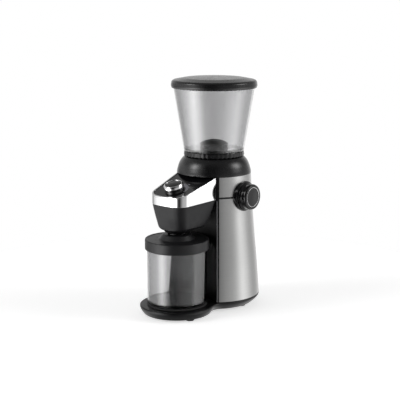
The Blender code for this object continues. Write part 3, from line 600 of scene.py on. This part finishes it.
def build_column():
    sections = []
    steps = 40
    for z in heights(low("column_cover").z, high("column_cover").z, 0.006):
        radius = body_radius(z)
        corner_x = radius * sin(CORNER)
        inner_x = corner_x - 0.0025
        across = [-1 + 2 * i / steps for i in range(steps + 1)]
        front = [(corner_x * share, column_depth(corner_x * share, z)) for share in across]
        inner = [(-inner_x * share, column_depth(-inner_x * share, z) + 0.0028) for share in across]
        right = [round_body(radius - inset, angle, z)[:2] for inset, angle in
                 ((0.0018, CORNER), (0.0018, COVER_LIP), (0.0042, COVER_LIP))]
        left = [(-x, y) for x, y in reversed(right)]
        sections.append(at(z, front + right + inner + left))
    cover = lofted("column_face", sections)
    shaped(cover, [block("tool", (-0.02, -0.06, 0.164), (0.02, -0.03, 0.208))])
    bevelled(cover, 0.0004)
    finished(cover, deep_black, "column_cover")

    for side, sign in (("right", 1), ("left", -1)):
        node = "trim_strip_" + side
        start, end = CORNER + radians(0.15), CORNER + radians(1.95)
        centre, half = (start + end) / 2, (end - start) / 2
        sections = []
        for z in heights(low(node).z, high(node).z, 0.006):
            radius = body_radius(z)
            section = [round_body(radius - 0.0015, start, z)]
            for share in (-1 + 2 * i / 8 for i in range(9)):
                crown = 0.0007 * sqrt(1 - 0.92 * share**2)
                section.append(round_body(radius + crown, centre + half * share, z))
            section.append(round_body(radius - 0.0015, end, z))
            sections.append([(sign * x, y, z) for x, y, z in section])
        finished(lofted("trim_bead_" + side, sections), grey_bead, node)


# Radii of the base at the ground and at its rim, under the container and under the body, the
# fillet where the two discs meet, and the thickness of its wall.
FRONT_FOOT, BODY_FOOT = 0.0556, 0.066
RIM_RADIUS = 0.0776
WAIST_FILLET = 0.024
BASE_WALL = 0.0026


def base_outline(front, body, steps=14, front_steps=64, body_steps=84):
    """The joined outline of the front disc and the body disc, with a fillet where they meet."""
    reach = -JAR_Y
    a, b = body + WAIST_FILLET, front + WAIST_FILLET
    along = (reach**2 + a**2 - b**2) / (2 * reach)
    across = sqrt(a**2 - along**2)
    centre = (across, -along)
    body_angle = atan2(centre[0], -centre[1])
    front_angle = atan2(centre[0], centre[1] + reach)
    points = []
    for i in range(body_steps + 1):
        angle = body_angle + (2 * pi - 2 * body_angle) * i / body_steps
        points.append((body * sin(angle), -body * cos(angle)))
    left_centre = (-centre[0], centre[1])
    start = atan2(points[-1][1] - left_centre[1], points[-1][0] - left_centre[0])
    touch = (-front * sin(front_angle), JAR_Y + front * cos(front_angle))
    end = atan2(touch[1] - left_centre[1], touch[0] - left_centre[0])
    turn_left = swept(left_centre, WAIST_FILLET, start, short_way(start, end),
                      range(1, steps + 1), steps)
    points += turn_left
    for i in range(1, front_steps + 1):
        angle = front_angle + (2 * pi - 2 * front_angle) * i / front_steps
        points.append((-front * sin(angle), JAR_Y + front * cos(angle)))
    points += [(-x, y) for x, y in reversed(turn_left[:-1])]
    return points


def build_base():
    foot_z, rim = low("base").z, high("base").z
    # (height, front disc radius, body disc radius) up the side, then in over the deck.
    rows = ((foot_z, FRONT_FOOT, BODY_FOOT), (0.0034, 0.0562, 0.0668), (0.006, 0.058, 0.0698),
            (0.0085, 0.0596, 0.0725), (0.0105, 0.0607, 0.0745), (0.0125, 0.0614, 0.0762),
            (0.014, 0.06165, 0.0773), (0.015, 0.0617, RIM_RADIUS), (0.0157, 0.06145, RIM_RADIUS),
            (0.0162, 0.0609, RIM_RADIUS), (DECK_Z, 0.0602, RIM_RADIUS))
    outer = [at(z, base_outline(front, body)) for z, front, body in rows]
    under = [at(z, base_outline(front - BASE_WALL, body - BASE_WALL))
             for z, front, body in ((foot_z, FRONT_FOOT, BODY_FOOT), (0.0085, 0.0596, 0.0725),
                                    (0.0139, 0.0614, 0.0762))]
    centre = (0, JAR_Y / 2)
    sections = []
    for i in range(len(outer[0])):
        column = [level[i] for level in outer]
        column += [(*centre, DECK_Z), (*centre, DECK_Z - BASE_WALL)]
        column += [level[i] for level in reversed(under)]
        sections.append(column)
    base = lofted("base_shell", sections, closed=True)
    steps = 120
    rounds = [COVER_LIP + (2 * pi - 2 * COVER_LIP) * i / steps for i in range(steps + 1)]
    layers = []
    for z, radius in ((DECK_Z - 0.001, RIM_RADIUS), (rim - 0.0003, RIM_RADIUS), (rim, 0.0773)):
        ring = [round_body(radius, angle, z) for angle in rounds]
        layers.append(ring + [round_body(0.0716, angle, z) for angle in reversed(rounds)])
    shaped(base, [lofted("tool", layers)], "UNION")
    seat = turned("tool", ((0.05, DECK_Z - 0.0005), (0.0512, DECK_Z - 0.0005),
                           (0.0512, DECK_Z + 0.001), (0.05, DECK_Z + 0.001)), ON_JAR, FINE_TURNS)
    shaped(base, [seat])
    finished(base, deep_black, "base")

    build_underplate()
    build_feet()
    mat_top, mat_low = high("container_mat").z, low("container_mat").z
    profile = [(0, mat_low), (0.0495, mat_low), (0.0495, mat_low + 0.0011, 0.0004),
               (0.0483, mat_top, 0.0003)]
    for ring in range(9):
        r = 0.0455 - 0.0045 * ring
        profile += [(r, mat_top), (r - 0.0003, mat_top - 0.0004), (r - 0.0009, mat_top - 0.0004),
                    (r - 0.0012, mat_top)]
    profile.append((0, mat_top))
    finished(turned("jar_mat", profile, ON_JAR, FINE_TURNS), black_rubber, "container_mat")

    rear = high("cable_gland").y - BODY_AXIS.y
    profile = [(0.003, 0.07), (0.0049, 0.07), (0.0049, rear - 0.0018),
               (0.0075, rear - 0.0018, 0.0003), (0.0069, rear, 0.0005), (0.0046, rear, 0.0004),
               (0.0036, rear - 0.001), (0.003, rear - 0.002)]
    finished(turned("cord_gland", profile, ON_GLAND, 72), black_rubber, "cable_gland")


def build_underplate():
    """The plate that closes the base from below, slotted for air and drilled for its screws."""
    bottom, top = low("base_plate").z, high("base_plate").z
    shrink = BASE_WALL + 0.0006
    plate = lofted("base_underplate", [
        at(z, base_outline(FRONT_FOOT - shrink + grow, BODY_FOOT - shrink + grow))
        for z, grow in ((bottom, -0.0004), (bottom + 0.0004, 0.0), (top, 0.0))])
    tools = []
    for i in range(6):
        x = -0.025 + 0.01 * i
        slot_shape = rounded([(x + side, y, 0.0021) for side, y in (
            (-0.0022, -0.03), (0.0022, -0.03), (0.0022, 0.015), (-0.0022, 0.015))], 6)
        tools.append(lofted("tool", [at(z, slot_shape) for z in (0.0, 0.009)]))
    for number in range(1, 5):
        tools.append(rod("tool", 0.0019, 0, 0.009, below("base_screw_" + str(number)), 24))
    shaped(plate, tools)
    finished(plate, satin_black, "base_plate")


def build_feet():
    for number in range(1, 6):
        node = "foot_" + str(number)
        radius, top = half_width(node), high(node).z
        profile = ((0, 0), (0.0026, 0), (0.003, 0.0004), (0.0044, 0.0004), (0.0048, 0),
                   (radius - 0.0005, 0, 0.0004), (radius, 0.001, 0.0004), (radius, top), (0, top))
        finished(turned("rubber_foot_" + str(number), profile, below(node), 64), black_rubber, node)

    for number in range(1, 5):
        node = "base_screw_" + str(number)
        bottom, top, head = low(node).z, high(node).z, half_width(node)
        profile = ((0, bottom), (head - 0.0008, bottom, 0.0003), (head, bottom + 0.0009, 0.0002),
                   (head, 0.0029), (0.0015, 0.0029))
        thread = []
        for i in range(12):
            z = 0.0034 + 0.0007 * i
            thread += [(0.0013, z), (0.0015, z + 0.00035)]
        profile += (*thread, (0.0013, top - 0.0002), (0, top))
        screw = turned("screw_" + str(number), profile, below(node), 40)
        turn = below(node) @ Matrix.Rotation(0.4 + 0.7 * number, 4, "Z")
        tools = []
        for quarter in range(2):
            spin = turn @ Matrix.Rotation(pi / 2 * quarter, 4, "Z")
            tools.append(block("tool", (-0.0017, -0.00035, 0), (0.0017, 0.00035, bottom + 0.0011),
                               spin))
        shaped(screw, tools)
        finished(screw, bare_steel, node)


# ---- container

def build_container():
    bottom, top = low("container").z, high("container").z
    rim = half_width("container")
    profile = (
        (0, bottom + 0.0006), (0.032, bottom + 0.0006, 0.001), (0.034, bottom, 0.001),
        (0.044, bottom, 0.002), (0.0476, bottom + 0.0014, 0.002), (0.049, bottom + 0.005, 0.004),
        (0.0495, 0.101), (rim, top, 0.0008), (rim - 0.0022, top, 0.0008), (0.0473, 0.101),
        (0.0466, bottom + 0.006, 0.004), (0.0446, bottom + 0.003, 0.003),
        (0.042, bottom + 0.0022, 0.003), (0, bottom + 0.0022),
    )
    finished(turned("jar_wall", profile, ON_JAR, FINE_TURNS), smoke_jar, "container")

    skirt, rim, top = low("container_lid").z, half_width("container_lid"), 0.1267
    cone = high("container_lid").z
    profile = (
        (rim - 0.0007, skirt, 0.0004), (rim, skirt + 0.0012, 0.0006), (rim, top, 0.0016),
        (rim - 0.0042, top, 0.0006), (rim - 0.0048, top - 0.0005, 0.0006),
        (0.03, top - 0.0002, 0.0024), (0.0238, cone - 0.0006, 0.0016), (0.0222, cone, 0.001),
        (0.015, cone, 0.0006), (0.015, 0.1215, 0.0003), (0.0168, 0.1215, 0.0003),
        (0.0176, 0.1318, 0.0006), (0.0224, 0.1318, 0.0006), (0.0268, 0.124, 0.001), (0.0484, 0.124),
        (0.05, 0.1228, 0.0006), (0.05, skirt, 0.0004),
    )
    finished(turned("jar_lid", profile, ON_JAR, FINE_TURNS), lid_grey, "container_lid")


# ---- head

# The head seen from above: half width and y of its front and rear edges, the bow of its front,
# and the radii of the front corners of the band and of the panel set into it.
HEAD_FRONT, HEAD_FRONT_Y = 0.0353, -0.1252
HEAD_REAR, HEAD_REAR_Y = 0.042, -0.0483
HEAD_BOW = 0.0045
BAND_CORNER, PANEL_CORNER = 0.0188, 0.0159
BAND_WALL = 0.0026
HEAD_WALL = 0.0024
# The band's lower edge rises from this height, at this y, by this slope.
BAND_LOW_Z = 0.1882
BAND_LOW_Y = -0.04
BAND_LOW_SLOPE = 0.041


def panel_z(y):
    return high("chrome_band").z + PANEL_SLOPE * (y - HEAD_REAR_Y)


def foot_line(y):
    return BAND_LOW_Z + BAND_LOW_SLOPE * (y - BAND_LOW_Y)


def head_sides(front_half, front_y, bow, rear_half, rear_y, radius, steps=22, across=24):
    """The head's outline from its right rear corner round the front to its left rear corner."""
    def front_edge(x):
        return (x, front_y - bow * (1 - (x / front_half) ** 2))

    # The arc runs tangent to the side and to a chord of the bowed front, carried on past its end.
    mid = front_edge(0.5 * front_half)
    carry = 2.2
    ahead = (front_half + (mid[0] - front_half) * carry, front_y + (mid[1] - front_y) * carry)
    right = fillet((rear_half, rear_y), (front_half, front_y), ahead, radius, steps)
    left = [(-x, y) for x, y in reversed(right)]
    reach = right[-1][0]
    middle_row = [front_edge(reach * (1 - 2 * i / across)) for i in range(1, across)]
    side = []
    for share in (i / 12 for i in range(1, 12)):
        side.append((rear_half + (right[0][0] - rear_half) * share,
                     rear_y + (right[0][1] - rear_y) * share))
    far_side = [(-x, y) for x, y in reversed(side)]
    return [(rear_half, rear_y), *side, *right, *middle_row, *left, *far_side,
            (-rear_half, rear_y)]


def head_rear(rear_half, rear_y, hollow, steps=28):
    """The hollowed rear edge, which fits round the column."""
    across = [-1 + 2 * i / steps for i in range(1, steps)]
    return [(rear_half * share, rear_y + hollow * (1 - share ** 2)) for share in across]


def build_band():
    def ring(grow):
        return head_sides(HEAD_FRONT + grow, HEAD_FRONT_Y - grow, HEAD_BOW, HEAD_REAR + grow,
                          HEAD_REAR_Y, BAND_CORNER + grow)

    # (growth outwards, lift) over the lower edge, then over the grooved and rolled upper edge.
    lower = ((-BAND_WALL, 0.0), (-0.0004, 0.0), (-0.0001, 0.00015), (0.0, 0.0005))
    upper = ((0.0, -0.0026), (-0.0003, -0.0023), (-0.0006, -0.0022), (-0.0006, -0.0017),
             (-0.0003, -0.0016), (0.0, -0.0013), (0.0, -0.0008), (-0.0001, -0.0003), (-0.0004, 0.0),
             (-BAND_WALL + 0.0005, 0.0), (-BAND_WALL + 0.0002, -0.0002), (-BAND_WALL, -0.0006))
    rows = [[(x, y, foot_line(y) + 0.0003 + lift) for x, y in ring(grow)] for grow, lift in lower]
    rows += [[(x, y, panel_z(y) + lift) for x, y in ring(grow)] for grow, lift in upper]
    sections = [list(section) for section in zip(*rows)]
    finished(lofted("bright_band", sections), chrome, "chrome_band", smooth=50.0)


def build_panel():
    inset = BAND_WALL + 0.0003
    rows = []
    for shrink, depth in ((0.0, 0.0043), (0.0, 0.0012), (0.0003, 0.0009)):
        plan = head_sides(HEAD_FRONT - inset - shrink, HEAD_FRONT_Y + inset + shrink, HEAD_BOW,
                          HEAD_REAR - inset - shrink, HEAD_REAR_Y - shrink, PANEL_CORNER - shrink)
        rows.append([(x, y, panel_z(y) - depth) for x, y in plan])
    panel = lofted("gloss_panel", rows)
    shaped(panel, [rod("tool", 0.004, -0.01, 0.01, ON_DIAL)])
    finished(panel, panel_print, "control_panel")


def build_head():
    floor_z = low("head_housing").z
    # (share of the height, front half width, front y, front bow, rear half width, rear y,
    # rear hollow, corner radius)
    stations = (
        (0.0, 0.0248, -0.1128, 0.0072, 0.0252, -0.0676, 0.0, 0.015),
        (0.02, 0.0261, -0.1136, 0.007, 0.0272, -0.0661, 0.0, 0.0152),
        (0.05, 0.028, -0.1144, 0.0064, 0.0294, -0.064, 0.0002, 0.0154),
        (0.1, 0.0296, -0.1151, 0.0057, 0.0312, -0.0625, 0.0005, 0.0156),
        (0.28, 0.0309, -0.1172, 0.0052, 0.034, -0.0588, 0.0016, 0.0164),
        (0.52, 0.0323, -0.1201, 0.005, 0.0368, -0.0552, 0.003, 0.0172),
        (1.0, 0.0349, -0.1248, 0.0045, 0.0416, -0.0487, 0.0058, 0.0184),
    )
    shares = (0.0, 0.01, 0.02, 0.035, 0.05, 0.075, 0.1, 0.16, 0.22, 0.28, 0.36, 0.44, 0.52, 0.64,
              0.76, 0.88, 0.97, 1.0)

    def level(share, inset):
        front_half, y_front, bow, rear_half, y_rear, hollow, radius = spline(stations, share)
        cut = 0.0004 if share == 1.0 and not inset else inset
        bottom = floor_z + inset
        plan = head_sides(front_half - cut, y_front + cut, bow, rear_half - cut, y_rear - cut,
                          radius - cut * 0.6)
        plan += head_rear(rear_half - cut, y_rear - cut, hollow)
        return [(x, y, bottom + (foot_line(y) - bottom) * share) for x, y in plan]

    outer = [level(share, 0.0) for share in shares]
    inner = [level(share, HEAD_WALL) for share in shares]
    centre = (0, -0.09)
    sections = []
    for i in range(len(outer[0])):
        column = [row[i] for row in outer] + [row[i] for row in reversed(inner)]
        sections.append([(*centre, floor_z), *column, (*centre, floor_z + HEAD_WALL)])
    housing = lofted("head_shell", sections, closed=True)
    # Turned a little, so that its facets miss those of the shell.
    hole = rod("tool", 0.015, 0.13, 0.148, ON_JAR @ Matrix.Rotation(0.03, 4, "Z"), 96)
    window = block("tool", (-0.014, -0.072, 0.16), (0.014, -0.04, 0.192))
    shaped(housing, [hole, window])
    finished(housing, dark_grey, "head_housing", smooth=45.0)

    bottom, top, radius = low("spout").z, high("spout").z, half_width("spout")
    profile = (
        (0.012, bottom, 0.0004), (0.0146, bottom, 0.001), (0.0176, bottom + 0.0016, 0.002),
        (0.0208, bottom + 0.004, 0.003), (radius, floor_z - 0.0003), (0.0146, floor_z - 0.0003),
        (0.0146, top), (0.014, top), (0.012, top - 0.006),
    )
    finished(turned("spout_nozzle", profile, ON_JAR, FINE_TURNS), deep_black, "spout")


def build_dial():
    profile = (
        (0.0036, -0.009), (0.0036, 0.0003), (0.016, 0.0003, 0.0003), (0.0166, 0.0012, 0.0006),
        (0.0158, 0.0042, 0.0003), (0.0118, 0.0042), (0.0118, 0.003), (0.002, 0.003),
        (0.002, -0.009),
    )
    finished(turned("dial_skirt", profile, ON_DIAL), gloss_black, "quantity_dial")
    profile = (
        (0.013, 0.0045), (0.0156, 0.0045, 0.0004), (0.0165, 0.0078, 0.004), (0.0161, 0.011, 0.0028),
        (0.0147, 0.0132, 0.0016), (0.0134, 0.0135, 0.0005), (0.013, 0.0122),
    )
    finished(turned("dial_bezel", profile, ON_DIAL, steps=8), chrome, "dial_ring", smooth=60.0)
    profile = [(0, 0.0055), (0.0114, 0.0055), (0.0114, 0.0078), (0.0127, 0.0078),
               (0.0127, 0.0122, 0.0005)]
    crown = 12
    for share in (i / crown for i in range(crown + 1)):
        profile.append((0.0122 * (1 - share), 0.0126 + 0.0013 * sin(pi / 2 * share)))
    finished(turned("start_cap", profile, ON_DIAL), gloss_black, "start_button", smooth=50.0)


# ---- dome, hopper and its lid

# The dome's foot carries a ledge, this thick, that reaches in at the front up to this far from
# the axis, over the top of the sloping panel.
DOME_LEDGE = 0.0015
DOME_UNDERSIDE_Y = 0.043


def build_dome():
    radius, top_z = half_width("top_housing"), high("top_housing").z
    outer = [(0.0623, 0.2275), (0.0617, 0.2303), (0.061, 0.2325), (0.06, 0.2362), (0.059, 0.2392),
             (0.0578, 0.2419), (0.0563, 0.2447), (0.0545, 0.2473), (0.0526, 0.2494), (0.051, 0.251),
             (0.0501, top_z - 0.0004), (0.0496, top_z)]
    inner = [(0.048, top_z), (0.0476, top_z - 0.0004), (0.0476, 0.249), (0.05, 0.2484),
             (0.053, 0.2446), (0.0552, 0.2405), (0.0571, 0.236), (0.0582, 0.2318), (0.0594, 0.2275)]
    ledge_top = DOME_FOOT + DOME_LEDGE

    def dome_section(angle):
        reach = radius - 0.0038
        if -sin(angle) > cos(CORNER):
            reach = min(reach, DOME_UNDERSIDE_Y / -sin(angle))
        ledge = [(radius - 0.003, ledge_top), (reach, ledge_top), (reach, DOME_FOOT)]
        return [(radius - 0.0003, DOME_FOOT), (radius, DOME_FOOT + 0.0003), *outer, *inner, *ledge]

    dome = lofted("dome_shell", spun(FINE_TURNS, dome_section), closed=True)
    finished(dome, satin_black, "top_housing", smooth=60.0)

    low_z, high_z = low("interlock_ring").z, high("interlock_ring").z

    def ring_section(angle):
        """The seat ring, thickened at the rear by a cam with eased flanks."""
        away = min(1.0, max(0.0, (radians(24) - abs(angle - pi / 2)) / radians(6)))
        cam = 0.043 + 0.0015 * away * away * (3 - 2 * away)
        return rounded(((0.0395, low_z, 0.0004), (cam, low_z, 0.0004), (cam, 0.238),
                        (0.047, 0.238, 0.0004), (0.047, high_z, 0.0004), (0.0457, high_z, 0.0004),
                        (0.0457, 0.24, 0.0006), (0.0395, 0.24, 0.0004)), 3)

    seat = lofted("seat_ring", spun(FINE_TURNS, ring_section), closed=True)
    finished(seat, pale_nylon, "interlock_ring")


def build_hopper():
    foot, top, rim, wall = low("hopper").z, high("hopper").z, half_width("hopper"), 0.0022
    profile = (
        (0.025, foot, 0.0003), (0.0497, foot, 0.0008), (0.0508, foot + 0.0018, 0.0016),
        (rim, top, 0.0008), (rim - wall, top, 0.0008), (0.0489, foot + 0.005, 0.003),
        (0.0475, foot + 0.0026, 0.002), (0.025, foot + wall, 0.0003),
    )
    finished(turned("hopper_wall", profile, ON_BODY, FINE_TURNS), smoke_hopper, "hopper")

    ribs, collar_foot, scallop_top = 40, 0.2535, 0.256
    rim_r = half_width("hopper_collar")
    profile = (
        (0.0446, 0.2405, 0.0004), (0.0446, 0.2525), (0.0475, collar_foot),
        (rim_r - 0.0006, collar_foot, 0.0006), (rim_r, collar_foot + 0.0012, 0.0006),
        (rim_r - 0.0006, 0.2606, 0.001), (0.049, foot - 0.0003), (0.042, foot - 0.0003),
        (0.042, 0.2405, 0.0004),
    )
    rows = rounded(profile, 4)

    def collar_section(angle):
        """The collar's outline, its side drawn in between the ribs and its foot scalloped."""
        valley = 0.5 - 0.5 * cos(ribs * angle)
        section = []
        for r, z in rows:
            if r > 0.0486 and z < scallop_top:
                z += 0.0009 * valley * (scallop_top - z) / (scallop_top - collar_foot)
            if r > 0.0492:
                r -= 0.0004 * valley
            section.append((r, z))
        return section

    collar = lofted("ribbed_collar", spun(ribs * 10, collar_section), closed=True)
    finished(collar, satin_black, "hopper_collar", smooth=50.0)

    profile = (
        (0.0212, 0.242), (0.023, 0.242), (0.023, 0.25, 0.002), (0.0416, 0.257, 0.001),
        (0.0416, 0.259, 0.0006), (0.0236, 0.261, 0.002), (0.0224, 0.2712, 0.0004),
        (0.0239, 0.2719, 0.0004), (0.0236, 0.2732, 0.0008), (0.019, 0.2762, 0.008),
        (0.011, 0.2789, 0.014), (0, 0.28), (0, 0.278), (0.0106, 0.277, 0.01),
        (0.0178, 0.2745, 0.008), (0.0207, 0.2722, 0.001), (0.0212, 0.26),
    )
    guard = turned("feed_guard", profile, ON_BODY)
    shaped(guard, [block("tool", (-half_x, -half_y, 0.266), (half_x, half_y, 0.2708))
                   for half_x, half_y in ((0.006, 0.03), (0.03, 0.006))])
    finished(guard, lid_grey, "hopper_feed_guard")

    base_z, lid_top, rim = low("hopper_lid").z, high("hopper_lid").z, half_width("hopper_lid")
    profile = (
        (0.0694, base_z, 0.0006), (0.071, base_z, 0.001), (rim, 0.3708, 0.005),
        (0.0712, 0.3772, 0.004), (0.0684, 0.3796, 0.006), (0.05, 0.383, 0.04), (0, lid_top),
        (0, lid_top - 0.0024), (0.0626, 0.3789, 0.001), (0.0626, base_z, 0.0004),
        (0.0646, base_z, 0.0006), (0.0652, 0.3688), (0.0694, 0.3688),
    )
    finished(turned("lid_cap", profile, ON_BODY, FINE_TURNS, steps=8), satin_black, "hopper_lid",
             smooth=50.0)


# ---- grind knob

def build_knob():
    profile = ((0.0062, 0.056), (0.025, 0.056), (0.025, 0.0668, 0.0006), (0.0242, 0.0682, 0.0006),
               (0.0062, 0.0682))
    bezel = turned("knob_seat", profile, ON_KNOB)
    levels = heights(0.15, 0.2245, 0.006)
    core = [(0, levels[0])] + [(body_radius(z) + 0.0003, z) for z in levels] + [(0, levels[-1])]
    shaped(bezel, [turned("tool", core, ON_BODY, FINE_TURNS)])
    finished(bezel, gloss_black, "knob_bezel")

    face = high("grind_knob").x - KNOB_AXIS.x
    profile = (
        (0.0035, 0.0686), (0.0226, 0.0686, 0.0004), (0.0228, 0.07, 0.0006), (0.0208, 0.0732, 0.003),
        (0.0214, 0.08, 0.004), (0.02, face, 0.0012), (0.0168, face - 0.0004, 0.0002),
        (0.0168, face - 0.002), (0.0152, face - 0.002), (0.0152, face - 0.0008, 0.0002),
        (0.012, face - 0.0011), (0.006, face - 0.0015), (0, face - 0.0016), (0, 0.076),
        (0.0035, 0.076),
    )
    finished(turned("knob_body", profile, ON_KNOB, steps=7), gloss_black, "grind_knob", smooth=50.0)
    profile = ((0.0154, face - 0.0017), (0.0165, face - 0.0017), (0.0165, face - 0.0001, 0.0003),
               (0.0154, face - 0.0003, 0.0003))
    finished(turned("knob_trim", profile, ON_KNOB, FINE_TURNS), grey_trim, "knob_ring", smooth=60.0)


# ---- build

# The printed wedge: inner radius, outer radius and its growth over an angle, start and end angle.
WEDGE_INNER, WEDGE_OUTER = 0.0182, 0.0205
WEDGE_GROWTH, WEDGE_TURN = 0.0055, 1.6
WEDGE_START, WEDGE_END = -0.05, 1.7
# The printed marks: their middles, and their half width and height.
MARKS = ((0.0095, 0.0262), (0.019, 0.015))
MARK_HALF = (0.0022, 0.0009)
PRINT_COLOUR = (0.26, 0.26, 0.3)


def print_on_panel():
    """Gloss black, with a pale wedge printed round the dial and two marks beside it."""
    material = plastic("panel_print", (0.006, 0.006, 0.007), 0.1, grain=0.004, depth=4e-6,
                       vary=0.03)
    tree = material.node_tree
    shader = tree.nodes["Principled BSDF"]
    under = shader.inputs["Base Color"].links[0].from_socket
    parts = axes_from(tree, DIAL_FACE)
    across, up = parts["X"], over(tree, parts["Y"], cos(DIAL_TILT))
    radius = from_centre(tree, across, up)
    angle = maths(tree, "ARCTAN2", up, across)

    def soft(value, edge, width):
        return remap(tree, value, edge - width, edge + width)

    def all_of(*masks):
        mask = masks[0]
        for further in masks[1:]:
            mask = times(tree, mask, further)
        return mask

    growth = remap(tree, angle, 0.0, WEDGE_TURN, 0.0, WEDGE_GROWTH)
    rim = minus(tree, plus(tree, WEDGE_OUTER, growth), radius)
    ended = minus(tree, 1.0, soft(angle, WEDGE_END, 0.01))
    mask = all_of(soft(rim, 0.0, 0.0002), soft(radius, WEDGE_INNER, 0.0002),
                  soft(angle, WEDGE_START, 0.01), ended)
    for centre in MARKS:
        sides = []
        for value, middle_of, half in zip((across, up), centre, MARK_HALF):
            off = maths(tree, "ABSOLUTE", minus(tree, value, middle_of))
            sides.append(soft(minus(tree, half, off), 0.0, 0.0001))
        mask = maths(tree, "MAXIMUM", mask, all_of(*sides))
    drive(tree, shader, "Base Color", blend_colour(tree, mask, under, PRINT_COLOUR))
    return material


panel_print = print_on_panel()
build_skins()
build_column()
build_base()
build_container()
build_band()
build_panel()
build_head()
build_dial()
build_dome()
build_hopper()
build_knob()

# CAD nodes that stay as they are, inside the machine.
KEPT = (
    (cut_brass, "knob_pinion", "motor_pinion"),
    (pale_nylon, "adjuster_ring", "burr_carrier", "impeller", "layshaft_gear", "motor_fan"),
    (shaft_steel, "outer_burr", "inner_burr", "burr_shaft", "shaft_bearing"),
    (bare_steel, "output_gear", "layshaft", "motor_can", "dial_encoder"),
    (wound_copper, "motor_rotor"), (board_green, "control_board", "dial_board"),
    (satin_black, "burr_chamber", "gearbox_housing", "gearbox_cover", "grounds_chute",
     "interlock_switch"),
)
for material, *nodes in KEPT:
    for node in nodes:
        shown = frame["nodes"][node]
        for slot in shown.material_slots:
            slot.material = material


# ---- stage

FLOOR_RADIUS = 0.55
FLOOR_GLOW = 0.58
CAMERA_OFFSET = Vector((1.1472, -1.4541, 0.5396))
CAMERA_DIRECTION = Vector((-0.6175, 0.7626, -0.1929))
CAMERA_LENS, CAMERA_SENSOR = 100.1, 36.0

# Directions are in degrees: azimuth from the front towards +X, and elevation.
# Soft lights: azimuth, its spread, elevation, its spread, and strength.
LIGHTS = (
    (-33, 13, 29, 12, 7.5), (-20, 18, -11, 11, 5.0), (-34, 32, -29, 10, 2.6),
    (124, 14, 29, 12, 6.5), (117, 11, -9, 13, 1.2), (135, 8, -10, 9, 0.6), (114, 34, -29, 10, 1.8),
)
# The same terms for a darkening between them, and the base of the falloff.
EULER = 2.718
DARK_GAP = (-92, 24, -8, 15, -0.7)
# Levels round the sides, each from one azimuth to another, on top of a least level.
SIDE_LEVELS = ((-14, 12, 1.0, 0.0), (28, 75, 0.0, 0.46), (75, 125, 0.0, 0.1))
LEAST_LEVEL = 0.02
# Elevations over which the sides give way to the level overhead and to that from below.
OVERHEAD = (35, 70, 0.55)
UNDERNEATH = (-40, -64, 0.5)
# The dimming of all these levels with elevation.
DIMMING = (0, 28, 1.0, 0.42)


def build_floor():
    material, tree, shader = blank("pale_floor", (0.84, 0.84, 0.84), 0.9)
    tones = noise(tree, object_point(tree), 0.6)
    drive(tree, shader, "Base Color",
          blend_colour(tree, tones, (0.83, 0.83, 0.83), (0.85, 0.85, 0.85)))
    shader.inputs["Specular IOR Level"].default_value = 0.0
    shader.inputs["Emission Color"].default_value = (1, 1, 1, 1)
    shader.inputs["Emission Strength"].default_value = FLOOR_GLOW
    ring = swept((0, 0), FLOOR_RADIUS, 0, 2 * pi, range(128), 128)
    bm = bmesh.new()
    bm.faces.new([bm.verts.new((x, y, CAD_BOX[0].z - 0.0002)) for x, y in ring])
    mesh = bpy.data.meshes.new("floor")
    bm.to_mesh(mesh)
    bm.free()
    mesh.materials.append(material)
    floor = object_of("floor", mesh)
    floor.visible_glossy = False


def build_world():
    """A white backdrop for the camera; for all else, soft lights round levels of grey."""
    world = bpy.data.worlds.new("studio")
    bpy.context.scene.world = world
    world.use_nodes = True
    tree = world.node_tree
    tree.nodes.clear()
    parts = axes(tree, add(tree, "TexCoord").outputs["Generated"])
    azimuth = maths(tree, "ARCTAN2", parts["X"], times(tree, parts["Y"], -1.0))
    rise = maths(tree, "ARCSINE", parts["Z"])

    def ramp(value, start, end, first=0.0, last=1.0):
        return remap(tree, value, radians(start), radians(end), first, last, "SMOOTHSTEP")

    def offset(value, centre, spread, power):
        away = minus(tree, value, radians(centre))
        return maths(tree, "POWER", over(tree, away, radians(spread)), power)

    def lobe(centre, spread, height, reach, strength):
        away = plus(tree, offset(azimuth, centre, spread, 2.0), offset(rise, height, reach, 4.0))
        falloff = maths(tree, "POWER", EULER, times(tree, away, -1.0))
        return times(tree, falloff, strength)

    def towards(start, end, level, sides):
        return add(tree, "Mix", {"Factor": ramp(rise, start, end), "A": sides, "B": level},
                   data_type="FLOAT").outputs["Result"]

    level = lobe(*DARK_GAP)
    for settings in SIDE_LEVELS:
        level = plus(tree, level, ramp(azimuth, *settings))
    level = plus(tree, level, LEAST_LEVEL)
    level = towards(*UNDERNEATH, towards(*OVERHEAD, level))
    total = times(tree, level, ramp(rise, *DIMMING))
    for settings in LIGHTS:
        total = plus(tree, total, lobe(*settings))
    shade, plain = (add(tree, "Background", {"Color": (1, 1, 1, 1), "Strength": strength})
                    for strength in (total, 1.0))
    seen = add(tree, "LightPath").outputs["Is Camera Ray"]
    mix = add(tree, "MixShader", {0: seen, 1: shade.outputs[0], 2: plain.outputs[0]})
    add(tree, "OutputWorld", {"Surface": mix.outputs[0]})


def place_camera():
    data = bpy.data.cameras.new("camera")
    data.lens, data.sensor_width = CAMERA_LENS, CAMERA_SENSOR
    camera = object_of("camera", data)
    camera.location = BODY_AXIS + CAMERA_OFFSET
    camera.rotation_euler = CAMERA_DIRECTION.to_track_quat("-Z", "Y").to_euler()
    bpy.context.scene.camera = camera
    bpy.context.scene.view_settings.view_transform = "Standard"


build_floor()
build_world()
place_camera()
